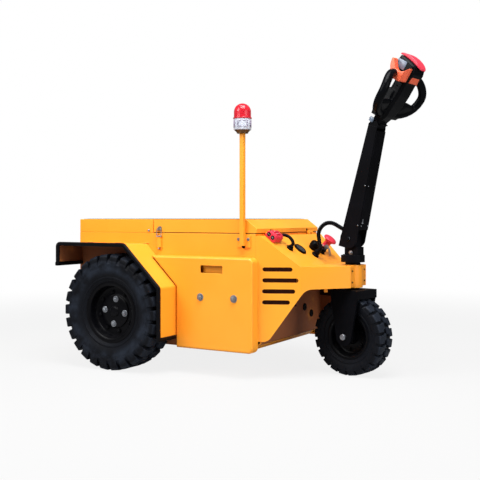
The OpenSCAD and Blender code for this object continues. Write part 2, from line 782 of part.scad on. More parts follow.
// Fork: crown plate with a turned-down front lip, two tapered legs and the axle.
front_r = front_d / 2;
leg_in = fork_w / 2 - fork_leg_t;
front_axle_d = 22;
lip_t = 5;
lip_clear = 7;
module leg_outline() {
    foot_r = 34;
    top = crown_z - front_r - crown_t + 1;
    circle(r = foot_r);
    polygon([[-foot_r, 0], [-crown_back, top], [crown_ahead, top], [foot_r, 0]]);
}
module fork() {
    lip_x = crown_ahead - lip_t;
    lip_z = front_r + sqrt(pow(front_r, 2) - pow(lip_x, 2)) + lip_clear;
    color("black") steered() {
        translate([-crown_back, -fork_w / 2, crown_z - crown_t]) cube([crown_back + crown_ahead, fork_w, crown_t]);
        translate([lip_x, -fork_w / 2, lip_z]) cube([lip_t, fork_w, crown_z - lip_z]);
        for (y = [-fork_w / 2, leg_in])
            translate([0, 0, front_r]) along_y(y, y + fork_leg_t) leg_outline();
        translate([0, 0, front_r]) rotate([90, 0, 0])
            cylinder(d = front_axle_d, h = fork_w + 14, center = true);
    }
}

// Steering head: shaft through the nose, collar on the deck, block and pivot lug.
lug_w = 44;
lug_r = 25;
neck_d = 58;
block_top_z = 496;
module steering_head() {
    color("black") steered() difference() {
        union() {
            translate([0, 0, crown_z + seat]) cylinder(d = shaft_d, h = deck_z + 20 - crown_z);
            translate([0, 0, deck_z + 4]) cylinder(d = neck_d, h = 12);
            translate([0, 0, deck_z + 13]) cylinder(d = collar_d, h = 27);
            translate([-24, -lug_w / 2, deck_z + 39]) cube([59.5, lug_w, block_top_z - deck_z - 39]);
            translate([-lug_r, -lug_w / 2, block_top_z - 1]) cube([2 * lug_r, lug_w, pivot_z - block_top_z + 1]);
            translate([0, 0, pivot_z]) rotate([90, 0, 0]) cylinder(r = lug_r, h = lug_w, center = true);
        }
        translate([0, 0, pivot_z]) rotate([90, 0, 0])
            cylinder(d = tilt_bolt_d + 2 * fit, h = lug_w + 2, center = true);
    }
}

// Along the tiller: pivot at the origin, the arm's axis up.
module on_arm() {
    steered() translate([0, 0, pivot_z]) rotate([0, arm_lean, 0]) children();
}

// Arm: folded channel, open to the front under its cover and at the back for the conduit.
tilt_bolt_d = 14;
arm_sheet = 4;
arm_front = 23;
arm_rear = arm_top - arm_front;
module arm_profile() {
    foot = arm_foot / 2;
    circle(r = foot);
    polygon([[-foot, -foot], [-arm_rear, arm_len], [arm_front, arm_len], [foot, 0], [0, -foot]]);
}
module tiller_arm() {
    color("black") on_arm() {
        difference() {
            along_y(-arm_w / 2, arm_w / 2) arm_profile();
            // Inside of the channel
            along_y(-arm_w / 2 + arm_sheet, arm_w / 2 - arm_sheet)
                polygon([[-60, -60], [-60, 44], [-arm_foot / 2 + arm_sheet, 60],
                    [-arm_rear + arm_sheet, arm_len - arm_sheet], [80, arm_len - arm_sheet], [80, -60]]);
        }
        rotate([90, 0, 0]) cylinder(d = tilt_bolt_d, h = arm_w + 16, center = true);
    }
}
module arm_cover() {
    lean = (arm_foot / 2 - arm_front) / arm_len;
    front = [[arm_foot / 2 - 44 * lean + seat, 44], [arm_front + 14 * lean + seat, arm_len - 14]];
    color("black") on_arm()
        along_y(-arm_w / 2 + 2, arm_w / 2 - 2)
            polygon([front[0], front[0] + [3, 0], front[1] + [3, 0], front[1]]);
}

// Along the control head: seat at the origin, the head's axis up, operator ahead.
module on_head() {
    on_arm() translate([0, 0, arm_len]) rotate([0, head_lean - arm_lean, 0]) children();
}
// A slab across the head with its side edges drawn in.
head_w = 88;
module slab(outline) {
    edge = 8;
    along_y(-head_w / 2 + edge, head_w / 2 - edge) polygon(outline);
    along_y(-head_w / 2, head_w / 2) offset(delta = -edge) polygon(outline);
}

// Underside of the belly button, from front to rear: the head's top follows it.
cap_under = curve([[67, head_len - 31], [37, head_len - 16], [-12, head_len - 7], [-43, head_len - 12]], 12);

// Housing of the head: slim at its foot, full in the middle, leaning back to its top.
module head_core() {
    hull() {
        along_y(-28, 28) polygon([[-14, 22], [18, 22], [34, 56], [-10, 56]]);
        slab([[-1, 128], [42, 104], [47, 150], [48, 200], [-1, 206]]);
    }
    hull() slab(concat([[-30, head_len - 42], [-1, 196], [47, 192], [58, head_len - 52]],
        [for (p = cap_under) if (p.x < 58 && p.x > -34) p - [0, seat]]));
}

// Head: the housing on its neck, with a closed grip at each side, out of its foot, up along
// the hand and back in to the throttle's shaft, and a web inside each grip's foot.
throttle_n = 6;
throttle_v = head_len - 76;
throttle_d = 20;
wing_in = head_w / 2 + 4.5;
wing_w = 28;
grip_y = grip_span / 2;
grip_in = wing_in + wing_w + 3.5;
grip_route = concat(
    curve([[8, 25, 62], [16, 85, 58], [36, grip_y, 88], [38, grip_y, 150]], 8),
    [for (i = [1 : 8]) bezier([[38, grip_y, 150], [38, grip_y, throttle_v - 31],
        [throttle_n, grip_y - 28, throttle_v], [throttle_n, grip_in, throttle_v]], i / 8)]);
web = [[8, 34, 62], [15, 88, 66], [31, 130, 104], [30, 70, 112], [20, 42, 108]];
module control_head() {
    color("black") {
        on_arm() translate([-16, -24, arm_len + seat]) cube([32, 48, 22]);
        on_head() {
            // Flange over the arm's end
            translate([-32, -26, 17]) cube([62, 52, 6]);
            head_core();
            both_sides() {
                tube(grip_route, grip_d, [1, 0, 0], 16);
                hull() for (p = web) translate(p) sphere(d = 24, $fn = 20);
                translate([throttle_n, head_w / 2 - 6, throttle_v]) rotate([-90, 0, 0])
                    cylinder(d = throttle_d, h = grip_in + 10 - head_w / 2);
            }
        }
    }
}

// Butterfly throttle wings on their shaft at both sides of the head: a hub below, a broad
// paddle rising at the front, swept back towards its outer end, and a narrow one at the back.
wing_outline = [[-24, 4], [-14, -13], [4, -20], [24, -21], [44, -14], [56, 8], [57, 30], [49, 42], [40, 36],
    [32, 22], [14, 12], [-6, 16], [-20, 34], [-30, 48], [-38, 44], [-34, 22]];
wing_tip = 57;
wing_sweep = 25;
module throttle_wings() {
    color("orangered") on_head() both_sides() translate([throttle_n, 0, throttle_v]) difference() {
        intersection() {
            along_y(wing_in, wing_in + wing_w) polygon(wing_outline);
            translate([0, 0, -60]) linear_extrude(height = 120)
                polygon([[-60, wing_in - 1], [wing_tip, wing_in - 1], [wing_tip - wing_sweep, wing_in + wing_w + 1],
                    [-60, wing_in + wing_w + 1]]);
        }
        rotate([90, 0, 0]) cylinder(d = throttle_d + 0.6, h = 4 * wing_in, center = true);
    }
}

// Curved belly button across the head's end.
cap_w = 54;
module belly_button() {
    over = curve([[-43, head_len - 9], [-26, head_len + 6], [36, head_len + 5], [67, head_len - 27]], 12);
    color("red") on_head() intersection() {
        along_y(-cap_w / 2, cap_w / 2) polygon(concat(over, cap_under));
        translate([0, 0, head_len - 60]) linear_extrude(height = 100) polygon(rounded_box(-44, 68, cap_w / 2, 20));
    }
}

// Tyre: revolved carcass with two rows of lugs, half a pitch apart.
module tyre(d, w, rim_d, tread, lugs, lug_share) {
    r = d / 2;
    base = r - tread;
    rim_r = rim_d / 2;
    shoulder = w / 2;
    pitch = 360 / lugs;
    wall = [[rim_r, shoulder * 0.62], [rim_r + 8, shoulder * 0.78], [rim_r + (base - rim_r) * 0.45, shoulder * 0.97],
        [base - 12, shoulder * 0.94], [base, shoulder * 0.8]];
    color("black") rotate([90, 0, 0]) {
        rotate_extrude($fn = 96) polygon(concat(wall, [for (i = [len(wall) - 1 : -1 : 0])
            [wall[i].x, -wall[i].y]]));
        for (side = [0, 1], i = [0 : lugs - 1])
            mirror([0, 0, side]) rotate([0, 0, (i + side / 2) * pitch])
                rotate_extrude(angle = pitch * lug_share, $fn = 96)
                    polygon([[base - 3, 4], [r, 3], [r, shoulder * 0.84], [r - tread * 0.7, shoulder],
                        [base - tread * 1.4, shoulder], [base - tread * 1.9, shoulder * 0.9]]);
    }
}

// Rim: well, flanges and a dished disc with a hub bored for its axle.
module rim(rim_d, w, dish, hub_d, hub_w, bore_d) {
    r = rim_d / 2;
    well = w * 0.31;
    color("black") rotate([90, 0, 0]) difference() {
        rotate_extrude($fn = 96) polygon([[r - 14, -well - 6], [r - 0.3, -well - 6], [r - 0.3, well + 6],
            [r - 14, well + 6], [r - 14, dish + 5], [hub_d / 2, dish + 5], [hub_d / 2, dish + hub_w / 2],
            [0, dish + hub_w / 2], [0, dish - hub_w / 2], [hub_d / 2, dish - hub_w / 2],
            [hub_d / 2, dish - 5], [r - 14, dish - 5]]);
        cylinder(d = bore_d, h = 400, center = true);
    }
}

module rear_place(side) {
    translate([axle_x, side * rear_mid_y, rear_d / 2])
        if (side > 0) rotate([0, 0, 180]) children(); else children();
}
module rear_tyre(side) {
    rear_place(side) tyre(rear_d, rear_w, rear_rim_d, rear_tread, rear_lugs, 0.68);
}
module rear_rim(side) {
    rear_place(side) rim(rear_rim_d, rear_w, 10, 130, 40, stub_d + 2 * fit);
}
module rear_tyre_right() { rear_tyre(-1); }
module rear_tyre_left() { rear_tyre(1); }
module rear_rim_right() { rear_rim(-1); }
module rear_rim_left() { rear_rim(1); }

module front_tyre() {
    steered() translate([0, 0, front_r])
        tyre(front_d, front_w, front_rim_d, front_tread, front_lugs, 0.72);
}
module front_rim() {
    steered() translate([0, 0, front_r])
        rim(front_rim_d, front_w, 0, 60, 104, front_axle_d + 2 * fit);
}

body_shell();
rear_cover();
front_bulkhead();
front_panel_right();
front_panel_left();
dashboard();
nose();
side_cover_right();
side_cover_left();
fender_right();
fender_left();
fender_edging_right();
fender_edging_left();
battery();
transaxle();
tow_coupling();
beacon_mast();
beacon_base();
beacon_lens();
power_connector();
connector_cable();
dash_fittings();
charge_gauge();
stop_button();
key();
conduit();
latch_levers();
lid_seal();
lid_hinges();
rear_mat();
lid();
lid_mat();
latch_loops();
fork();
steering_head();
tiller_arm();
arm_cover();
control_head();
throttle_wings();
belly_button();
rear_tyre_right();
rear_rim_right();
rear_tyre_left();
rear_rim_left();
front_tyre();
front_rim();
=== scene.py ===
import bpy
import bmesh
import json
import math
from mathutils import Matrix, Vector

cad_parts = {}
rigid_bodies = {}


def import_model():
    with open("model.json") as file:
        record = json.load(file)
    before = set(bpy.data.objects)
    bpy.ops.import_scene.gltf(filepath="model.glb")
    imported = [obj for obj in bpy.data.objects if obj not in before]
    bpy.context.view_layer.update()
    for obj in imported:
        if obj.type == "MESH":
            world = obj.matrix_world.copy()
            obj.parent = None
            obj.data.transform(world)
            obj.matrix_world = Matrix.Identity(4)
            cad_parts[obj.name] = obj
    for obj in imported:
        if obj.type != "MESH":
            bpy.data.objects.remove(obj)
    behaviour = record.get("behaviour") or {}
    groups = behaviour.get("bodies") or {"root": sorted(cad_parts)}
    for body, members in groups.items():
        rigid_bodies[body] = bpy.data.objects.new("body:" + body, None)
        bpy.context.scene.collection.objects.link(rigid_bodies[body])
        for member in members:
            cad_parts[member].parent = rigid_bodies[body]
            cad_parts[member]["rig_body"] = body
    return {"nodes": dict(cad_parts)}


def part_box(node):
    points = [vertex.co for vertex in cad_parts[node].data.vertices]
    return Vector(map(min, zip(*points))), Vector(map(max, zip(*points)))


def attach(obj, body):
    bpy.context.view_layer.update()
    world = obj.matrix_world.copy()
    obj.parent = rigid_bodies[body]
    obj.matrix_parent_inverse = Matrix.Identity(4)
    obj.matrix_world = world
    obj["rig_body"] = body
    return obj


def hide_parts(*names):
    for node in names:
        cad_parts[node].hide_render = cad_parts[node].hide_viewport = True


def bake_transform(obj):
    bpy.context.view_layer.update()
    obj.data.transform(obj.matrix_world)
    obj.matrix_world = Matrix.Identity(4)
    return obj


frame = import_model()
scene = bpy.context.scene
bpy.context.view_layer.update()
mm = 0.001
imageSide = 480

# Stations of the machine, in metres, as the solids have them
machine = {
    "steerX": 0.470, "axleX": -0.398, "steerTurn": -10, "halfWidth": 0.275,
    "dashTop": (0.208, 0.540), "dashFoot": (0.346, 0.424),
    "pivotZ": 0.528, "armLean": 13.7, "armLength": 0.441, "armWidth": 0.066, "headLean": 32,
    "mastX": 0.140, "mastY": -0.2885, "mastTop": 0.928,
    "rearX": -0.675, "hitchZ": 0.290, "rearRadius": 0.2325, "rearWheelY": 0.359, "frontRadius": 0.152,
}


def moved(x, y, z):
    return Matrix.Translation((x, y, z))


def rotated(degrees, axis):
    return Matrix.Rotation(math.radians(degrees), 4, axis)


steerFrame = moved(machine["steerX"], 0, 0) @ rotated(machine["steerTurn"], "Z")
armFrame = steerFrame @ moved(0, 0, machine["pivotZ"]) @ rotated(machine["armLean"], "Y")
headTurn = rotated(machine["headLean"] - machine["armLean"], "Y")
headFrame = armFrame @ moved(0, 0, machine["armLength"]) @ headTurn

# Camera: level, on the right and ahead, at the height of the lid's edge
camera = {"place": (1.650, -2.915, 0.608), "heading": 30, "focalPixels": 800, "axisPixel": (241, 218)}


def makeCamera():
    data = bpy.data.cameras.new("camera")
    data.sensor_width = 36
    data.lens = camera["focalPixels"] * data.sensor_width / imageSide
    data.shift_x = (imageSide / 2 - camera["axisPixel"][0]) / imageSide
    data.shift_y = (camera["axisPixel"][1] - imageSide / 2) / imageSide
    made = bpy.data.objects.new("camera", data)
    made.location = camera["place"]
    made.rotation_euler = (math.radians(90), 0, math.radians(camera["heading"]))
    scene.collection.objects.link(made)
    scene.camera = made


makeCamera()
print("camera in place")


# Node sheets, for materials and for geometry
class Wire:  # an output that can be calculated with
    def __init__(self, sheet, socket):
        self.sheet, self.socket = sheet, socket

    def out(self, name):
        return Wire(self.sheet, self.socket.node.outputs[name])

    def __add__(self, other): return self.sheet.maths("ADD", self, other)
    def __radd__(self, other): return self.sheet.maths("ADD", other, self)
    def __sub__(self, other): return self.sheet.maths("SUBTRACT", self, other)
    def __rsub__(self, other): return self.sheet.maths("SUBTRACT", other, self)
    def __mul__(self, other): return self.sheet.maths("MULTIPLY", self, other)
    def __rmul__(self, other): return self.sheet.maths("MULTIPLY", other, self)
    def __truediv__(self, other): return self.sheet.maths("DIVIDE", self, other)
    def __gt__(self, other): return self.sheet.maths("GREATER_THAN", self, other)
    def __lt__(self, other): return self.sheet.maths("LESS_THAN", self, other)


class Sheet:  # a node tree and the way nodes are added to it
    def __init__(self, tree):
        self.tree = tree

    def node(self, kind, settings={}, sockets={}, output=0):
        made = self.tree.nodes.new(kind)
        for key, value in settings.items():
            setattr(made, key, value)
        for key, value in sockets.items():
            if isinstance(value, Wire):
                self.tree.links.new(value.socket, made.inputs[key])
            else:
                made.inputs[key].default_value = value
        return Wire(self, made.outputs[output]) if made.outputs else made

    def maths(self, operation, a, b=0.0):
        return self.node("ShaderNodeMath", {"operation": operation}, {0: a, 1: b})

    def split(self, vector):  # a vector's three numbers
        parts = self.node("ShaderNodeSeparateXYZ", {}, {0: vector})
        return parts.out("X"), parts.out("Y"), parts.out("Z")

    def noise(self, coords, scale, detail=3.0, roughness=0.55):
        return self.node("ShaderNodeTexNoise", {}, {"Vector": coords, "Scale": scale, "Detail": detail,
                                                    "Roughness": roughness})

    def mix(self, factor, a, b):
        return self.node("ShaderNodeMix", {"data_type": "RGBA"}, {0: factor, 6: a, 7: b}, 2)

    def between(self, value, low, high):  # 0 below low, 1 above high
        return self.node("ShaderNodeMapRange", {"interpolation_type": "SMOOTHSTEP"},
                         {"Value": value, "From Min": low, "From Max": high})


def rgba(colour):
    return (colour[0], colour[1], colour[2], 1.0)


# Finishes: one dictionary each; lengths of patterns are in metres
finishSpecs = {
    "body_paint": {"tone": (0.93, 0.335, 0.020), "second": (0.95, 0.360, 0.026), "patch": 3.0, "grain": 900,
                   "grainDepth": 0.00008, "rough": (0.36, 0.46), "coat": 0.15, "shine": 0.26,
                   "dust": (0.82, 0.52, 0.20), "dustShare": 0.10, "scuff": 0.04,
                   # painted shade for the wheel arches and behind the front wheel: its colour and share
                   "wheelBayShade": (0.110, 0.024, 0.034), "wheelBayShadeShare": 0.80},
    "black_paint": {"tone": (0.0018, 0.0018, 0.0026), "second": (0.0030, 0.0031, 0.0046), "patch": 6.0,
                    "grain": 1400, "grainDepth": 0.00010, "rough": (0.42, 0.54), "shine": 0.04,
                    "dust": (0.20, 0.20, 0.21), "dustShare": 0.05, "scuff": 0.04},
    "edging_rubber": {"tone": (0.0018, 0.0018, 0.0024), "second": (0.0028, 0.0028, 0.0036), "patch": 9.0,
                      "grain": 700, "grainDepth": 0.00015, "rough": (0.40, 0.52), "shine": 0.08,
                      "dust": (0.16, 0.15, 0.14), "dustShare": 0.10},
    "mat_rubber": {"tone": (0.030, 0.030, 0.034), "second": (0.042, 0.042, 0.047), "patch": 7.0,
                   "grain": 800, "grainDepth": 0.00020, "rough": (0.68, 0.82), "shine": 0.12,
                   "dust": (0.20, 0.19, 0.17), "dustShare": 0.18},
    "rim_paint": {"tone": (0.0012, 0.0012, 0.0018), "second": (0.0020, 0.0020, 0.0030), "patch": 12.0,
                  "grain": 1200, "grainDepth": 0.00012, "rough": (0.28, 0.40), "shine": 0.09,
                  "dust": (0.12, 0.12, 0.12), "dustShare": 0.10, "scuff": 0.05},
    "machine_grey": {"tone": (0.10, 0.10, 0.11), "second": (0.14, 0.14, 0.15), "patch": 10.0, "grain": 300,
                     "grainDepth": 0.0005, "rough": (0.55, 0.75), "shine": 0.4, "dust": (0.25, 0.22, 0.18),
                     "dustShare": 0.30},
    "battery_case": {"tone": (0.055, 0.058, 0.066), "second": (0.070, 0.073, 0.082), "patch": 5.0,
                     "grain": 900, "grainDepth": 0.00020, "rough": (0.50, 0.62), "shine": 0.4,
                     "dust": (0.24, 0.23, 0.21), "dustShare": 0.20},
    "zinc": {"tone": (0.34, 0.36, 0.39), "second": (0.25, 0.26, 0.29), "patch": 60.0, "grain": 1800,
             "grainDepth": 0.00006, "rough": (0.22, 0.38), "metal": 0.9, "shine": 0.5, "streak": 14.0},
    "black_plastic": {"tone": (0.0016, 0.0017, 0.0024), "second": (0.0024, 0.0026, 0.0038), "patch": 15.0,
                      "grain": 1600, "grainDepth": 0.00010, "rough": (0.26, 0.34), "shine": 0.05,
                      "dust": (0.10, 0.12, 0.16), "dustShare": 0.01},
    "red_plastic": {"tone": (0.60, 0.022, 0.048), "second": (0.66, 0.034, 0.064), "patch": 18.0,
                    "grain": 1300, "grainDepth": 0.00002, "rough": (0.34, 0.44), "shine": 0.35},
    "orange_plastic": {"tone": (0.74, 0.100, 0.036), "second": (0.80, 0.130, 0.055), "patch": 18.0,
                       "grain": 1300, "grainDepth": 0.00008, "rough": (0.32, 0.44), "shine": 0.45},
    "lens_red": {"tone": (0.55, 0.010, 0.022), "second": (0.62, 0.022, 0.040), "patch": 25.0, "grain": 500,
                 "grainDepth": 0.000002, "rough": (0.14, 0.20), "shine": 0.4, "alpha": 0.80},
    "lens_clear": {"tone": (0.62, 0.65, 0.74), "second": (0.70, 0.73, 0.82), "patch": 25.0, "grain": 500,
                   "grainDepth": 0.000002, "rough": (0.16, 0.24), "shine": 0.45, "alpha": 0.80},
    "lampRed": {"tone": (0.78, 0.010, 0.020), "second": (0.60, 0.008, 0.015), "patch": 60.0, "grain": 600,
                "grainDepth": 0.0001, "rough": (0.25, 0.35), "shine": 0.5},
    "socketShade": {"tone": (0.010, 0.009, 0.008), "second": (0.020, 0.018, 0.016), "patch": 30.0,
                   "grain": 900, "grainDepth": 0.0002, "rough": (0.7, 0.85), "shine": 0.2},
    "ventShade": {"tone": (0.036, 0.009, 0.003), "second": (0.026, 0.006, 0.002), "patch": 30.0,
                  "grain": 900, "grainDepth": 0.0001, "rough": (0.6, 0.75), "shine": 0.1},
    # brown metal for the beacon's foot, a painted reflection of the orange mast
    "mastReflectionBrown": {"tone": (0.150, 0.085, 0.035), "second": (0.110, 0.062, 0.026), "patch": 40.0, "grain": 900,
               "grainDepth": 0.00005, "rough": (0.35, 0.45), "metal": 0.6, "shine": 0.4},
    "windowGrey": {"tone": (0.240, 0.200, 0.270), "second": (0.300, 0.260, 0.330), "patch": 40.0,
                   "grain": 900, "grainDepth": 0.00003, "rough": (0.30, 0.40), "shine": 0.4},
    "dialFace": {"tone": (0.020, 0.021, 0.022), "second": (0.028, 0.029, 0.030), "patch": 90.0,
                 "grain": 2000, "grainDepth": 0.00005, "rough": (0.30, 0.40), "shine": 0.5},
    "dialMarks": {"tone": (0.16, 0.16, 0.155), "second": (0.12, 0.12, 0.118), "patch": 90.0, "grain": 2000,
                  "grainDepth": 0.00003, "rough": (0.45, 0.55), "shine": 0.4},
    # blue-grey painted sheen, for facets of black plastic that catch light
    "sheenGrey": {"tone": (0.115, 0.150, 0.205), "second": (0.130, 0.168, 0.228), "patch": 40.0,
                  "grain": 1600, "grainDepth": 0.00006, "rough": (0.22, 0.30), "shine": 0.5},
}
finishes = {}


def shaderSheet(name):
    made = bpy.data.materials.new(name)
    made.use_nodes = True
    made.node_tree.nodes.clear()
    return made, Sheet(made.node_tree)


def closeShader(sheet, sockets):
    shader = sheet.node("ShaderNodeBsdfPrincipled", {}, sockets)
    sheet.node("ShaderNodeOutputMaterial", {}, {"Surface": shader})


# Painted shade: a dark reddish brown, in patches, on the inside of the wheel arches and behind the front
# wheel
wheelBayShade = {"archRadius": 0.40, "archFront": -0.152, "slopeX": -0.318, "slope": 0.965, "archTop": 0.500,
         "frontTop": 0.338, "frontX": 0.196, "wallY": 0.2765}


def wheelBayShadeMask(sheet, place):
    x, y, z = sheet.split(place)
    facingX, facingY, facingZ = sheet.split(sheet.node("ShaderNodeNewGeometry").out("Normal"))
    aside = sheet.maths("ABSOLUTE", y)
    outward = sheet.maths("SIGN", y) * facingY
    fromX, fromZ = x - machine["axleX"], z - machine["rearRadius"]
    away = sheet.maths("SQRT", fromX * fromX + fromZ * fromZ)
    inward = 0.0 - (fromX * facingX + fromZ * facingZ) / away
    over = z + sheet.maths("MAXIMUM", x - wheelBayShade["slopeX"], 0.0) * wheelBayShade["slope"]
    near = (away < wheelBayShade["archRadius"]) * (x < wheelBayShade["archFront"] + 0.002)
    under = near * (aside > wheelBayShade["wallY"]) * sheet.between(inward, 0.2, 0.6)
    inside = aside < wheelBayShade["wallY"]
    facesOut, facesIn = sheet.between(outward, 0.4, 0.8), 1.0 - sheet.between(outward, 0.05, 0.2)
    wall = near * (x < wheelBayShade["archFront"]) * inside * facesOut * (over < wheelBayShade["archTop"])
    hidden = (x > wheelBayShade["frontX"]) * (z < wheelBayShade["frontTop"]) * inside * facesIn
    whole = sheet.maths("MAXIMUM", under, sheet.maths("MAXIMUM", wall, hidden))
    return whole * sheet.between(sheet.noise(place, 9.0, 5.0, 0.6), 0.05, 0.45)


def makeFinish(name, spec):
    made, sheet = shaderSheet(name)
    place = sheet.node("ShaderNodeTexCoord").out("Object")
    patch = sheet.between(sheet.noise(place, spec["patch"]), 0.35, 0.65)
    colour = sheet.mix(patch, rgba(spec["tone"]), rgba(spec["second"]))
    smoothest, roughest = spec["rough"]
    rough = smoothest + (roughest - smoothest) * sheet.noise(place, spec["patch"] * 9, 4.0)
    height = sheet.noise(place, spec["grain"], 2.0)
    if "streak" in spec:  # drawing lines of plated parts
        fine, coarse = spec["streak"] * 40, spec["streak"]
        long = sheet.node("ShaderNodeMapping", {}, {"Vector": place, "Scale": (fine, fine, coarse)})
        rough = rough + 0.12 * sheet.noise(long, 1.0, 2.0)
    if "dust" in spec:  # settles on what faces up, in patches
        up = sheet.split(sheet.node("ShaderNodeNewGeometry").out("Normal"))[2]
        cloud = sheet.between(sheet.noise(place, spec["patch"] * 2.3, 6.0, 0.7), 0.38, 0.75)
        film = sheet.between(up, 0.2, 1.0) * cloud * spec["dustShare"]
        colour = sheet.mix(film, colour, rgba(spec["dust"]))
        rough = rough + 0.25 * film
    if "scuff" in spec:  # fine scratches, most of them low down
        low = 1.0 - sheet.between(sheet.split(place)[2], 0.05, 0.55)
        thin = sheet.node("ShaderNodeMapping", {}, {"Vector": place, "Scale": (9, 9, 160),
                                                    "Rotation": (0.2, 0.1, 0.3)})
        scratch = sheet.between(sheet.noise(thin, 4.0, 5.0, 0.7), 0.64, 0.70) * low
        colour = sheet.mix(scratch * spec["scuff"] * 4, colour, rgba([0.45 * c + 0.05 for c in spec["tone"]]))
        rough = rough + spec["scuff"] * 3 * scratch
        height = height - 0.6 * scratch
    coat = spec.get("coat", 0.0)
    # painted shade in the wheel arches and behind the front wheel: darker, rougher, with less coat
    if "wheelBayShade" in spec:
        paintedWheelBayShade = wheelBayShadeMask(sheet, place) * spec["wheelBayShadeShare"]
        colour = sheet.mix(paintedWheelBayShade, colour, rgba(spec["wheelBayShade"]))
        rough, coat = rough + 0.35 * paintedWheelBayShade, coat * (1.0 - paintedWheelBayShade)
    bump = sheet.node("ShaderNodeBump", {}, {"Height": height, "Distance": spec["grainDepth"],
                                             "Strength": 0.6})
    sockets = {"Base Color": colour, "Roughness": rough, "Normal": bump, "Metallic": spec.get("metal", 0.0),
               "Specular IOR Level": spec["shine"], "Coat Weight": coat, "Coat Roughness": 0.18}
    if "alpha" in spec:
        sockets["Alpha"] = spec["alpha"]
    closeShader(sheet, sockets)
    finishes[name] = made


for finishName, finishSpec in finishSpecs.items():
    makeFinish(finishName, finishSpec)

# Tyre rubber: rings on the side wall, worn patches at random, and painted sheen, a lighter bluish band on the
# side wall and lighter lugs; rings and band, at shares of the radius, follow the "wheel" attribute
tyreFinish = {"tone": (0.0036, 0.0040, 0.0058), "wornAndSheen": (0.0180, 0.0230, 0.0340), "rough": (0.42, 0.58),
              "rings": 420, "shine": 0.08, "sheenBand": (0.62, 0.74, 0.86, 0.92), "sheenBandShare": 0.8,
              "patchShare": 0.12, "treadSheenShare": 0.6}


def makeTyreFinish():
    made, sheet = shaderSheet("tyre_rubber")
    place = sheet.node("ShaderNodeTexCoord").out("Object")
    marks = sheet.node("ShaderNodeAttribute", {"attribute_name": "wheel"}).out("Vector")
    radius, tread, share = sheet.split(marks)
    patch = sheet.between(sheet.noise(place, 14.0, 5.0), 0.35, 0.7)
    inner, innerEnd, outer, outerEnd = tyreFinish["sheenBand"]
    sheenBand = sheet.between(share, inner, innerEnd) * (1.0 - sheet.between(share, outer, outerEnd))
    # painted sheen: the side wall's band and the lugs lighter and bluish; the patches are worn tone at random
    wornAndSheen = patch * (tyreFinish["patchShare"] + sheenBand * tyreFinish["sheenBandShare"])
    colour = sheet.mix(wornAndSheen + tread * tyreFinish["treadSheenShare"], rgba(tyreFinish["tone"]),
                       rgba(tyreFinish["wornAndSheen"]))
    rings = sheet.maths("SINE", radius * tyreFinish["rings"] * 2 * math.pi) * (1.0 - tread)
    height = 0.35 * rings + sheet.noise(place, 320.0, 3.0) + 0.5 * sheet.noise(place, 1500.0, 1.0)
    bump = sheet.node("ShaderNodeBump", {}, {"Height": height, "Distance": 0.00035, "Strength": 0.6})
    smoothest, roughest = tyreFinish["rough"]
    rough = smoothest + (roughest - smoothest) * sheet.noise(place, 60.0, 4.0)
    closeShader(sheet, {"Base Color": colour, "Roughness": rough, "Normal": bump,
                        "Specular IOR Level": tyreFinish["shine"]})
    finishes["tyre_rubber"] = made


makeTyreFinish()
print("finishes made:", len(finishes))


# A piece of the scene: stands are the nodes it replaces, and sharp None keeps the mesh's own normals
def addPiece(name, source, slot, body, stands=(), sharp=32, finish=None):
    if isinstance(source, bmesh.types.BMesh):
        mesh = bpy.data.meshes.new(name)
        source.to_mesh(mesh)
        source.free()
    else:
        mesh = source
        mesh.name = name
    mesh.materials.clear()
    mesh.materials.append(finishes[finish or slot])
    if sharp:
        mesh.shade_smooth()
        mesh.set_sharp_from_angle(angle=math.radians(sharp))
    made = bpy.data.objects.new(name, mesh)
    scene.collection.objects.link(made)
    if body:
        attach(made, body)
    if stands:
        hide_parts(*stands)
    return made


def joined(parts):  # several meshes or bmeshes in one bmesh
    whole = bmesh.new()
    for part in parts:
        mesh = part
        if isinstance(part, bmesh.types.BMesh):
            mesh = bpy.data.meshes.new("part")
            part.to_mesh(mesh)
            part.free()
        whole.from_mesh(mesh)
        bpy.data.meshes.remove(mesh)
    return whole


# Turns (radius, height) points in millimetres round the local Z axis
def spun(profile, steps, place=Matrix(), closed=False):
    bm = bmesh.new()
    rings = []
    for k in range(steps):
        turn = 2 * math.pi * k / steps
        c, s = math.cos(turn), math.sin(turn)
        rings.append([bm.verts.new(place @ Vector((r * mm * c, r * mm * s, z * mm))) for r, z in profile])
    count = len(profile)
    for k in range(steps):
        a, b = rings[k], rings[(k + 1) % steps]
        for i in range(count if closed else count - 1):
            j = (i + 1) % count
            bm.faces.new((a[i], b[i], b[j], a[j]))
    bmesh.ops.remove_doubles(bm, verts=bm.verts, dist=1e-6)
    bmesh.ops.recalc_face_normals(bm, faces=bm.faces)
    return bm


# A box between two corners in millimetres, in either order, with its edges broken
def block(low, high, place=Matrix(), bevel=0.0):
    bm = bmesh.new()
    size = [abs(b - a) * mm for a, b in zip(low, high)]
    middle = [(a + b) / 2 * mm for a, b in zip(low, high)]
    bmesh.ops.create_cube(bm, size=1, matrix=place @ Matrix.Translation(middle) @ Matrix.Diagonal((*size, 1)))
    if bevel:
        bmesh.ops.bevel(bm, geom=bm.edges[:], offset=bevel * mm, segments=2, profile=0.5, affect="EDGES")
    return bm


# A smooth curve through the points, as the solids' routes are drawn
def smoothRoute(points, steps):
    p = [Vector(q) for q in points]
    route = []
    for i in range(len(p) - 1):
        a, b, c, d = p[max(i - 1, 0)], p[i], p[i + 1], p[min(i + 2, len(p) - 1)]
        for k in range(steps):
            t = k / steps
            route.append((2 * b + (c - a) * t + (2 * a - 5 * b + 4 * c - d) * t * t
                          + (3 * b - a - 3 * c + d) * t ** 3) / 2)
    return route + [p[-1]]


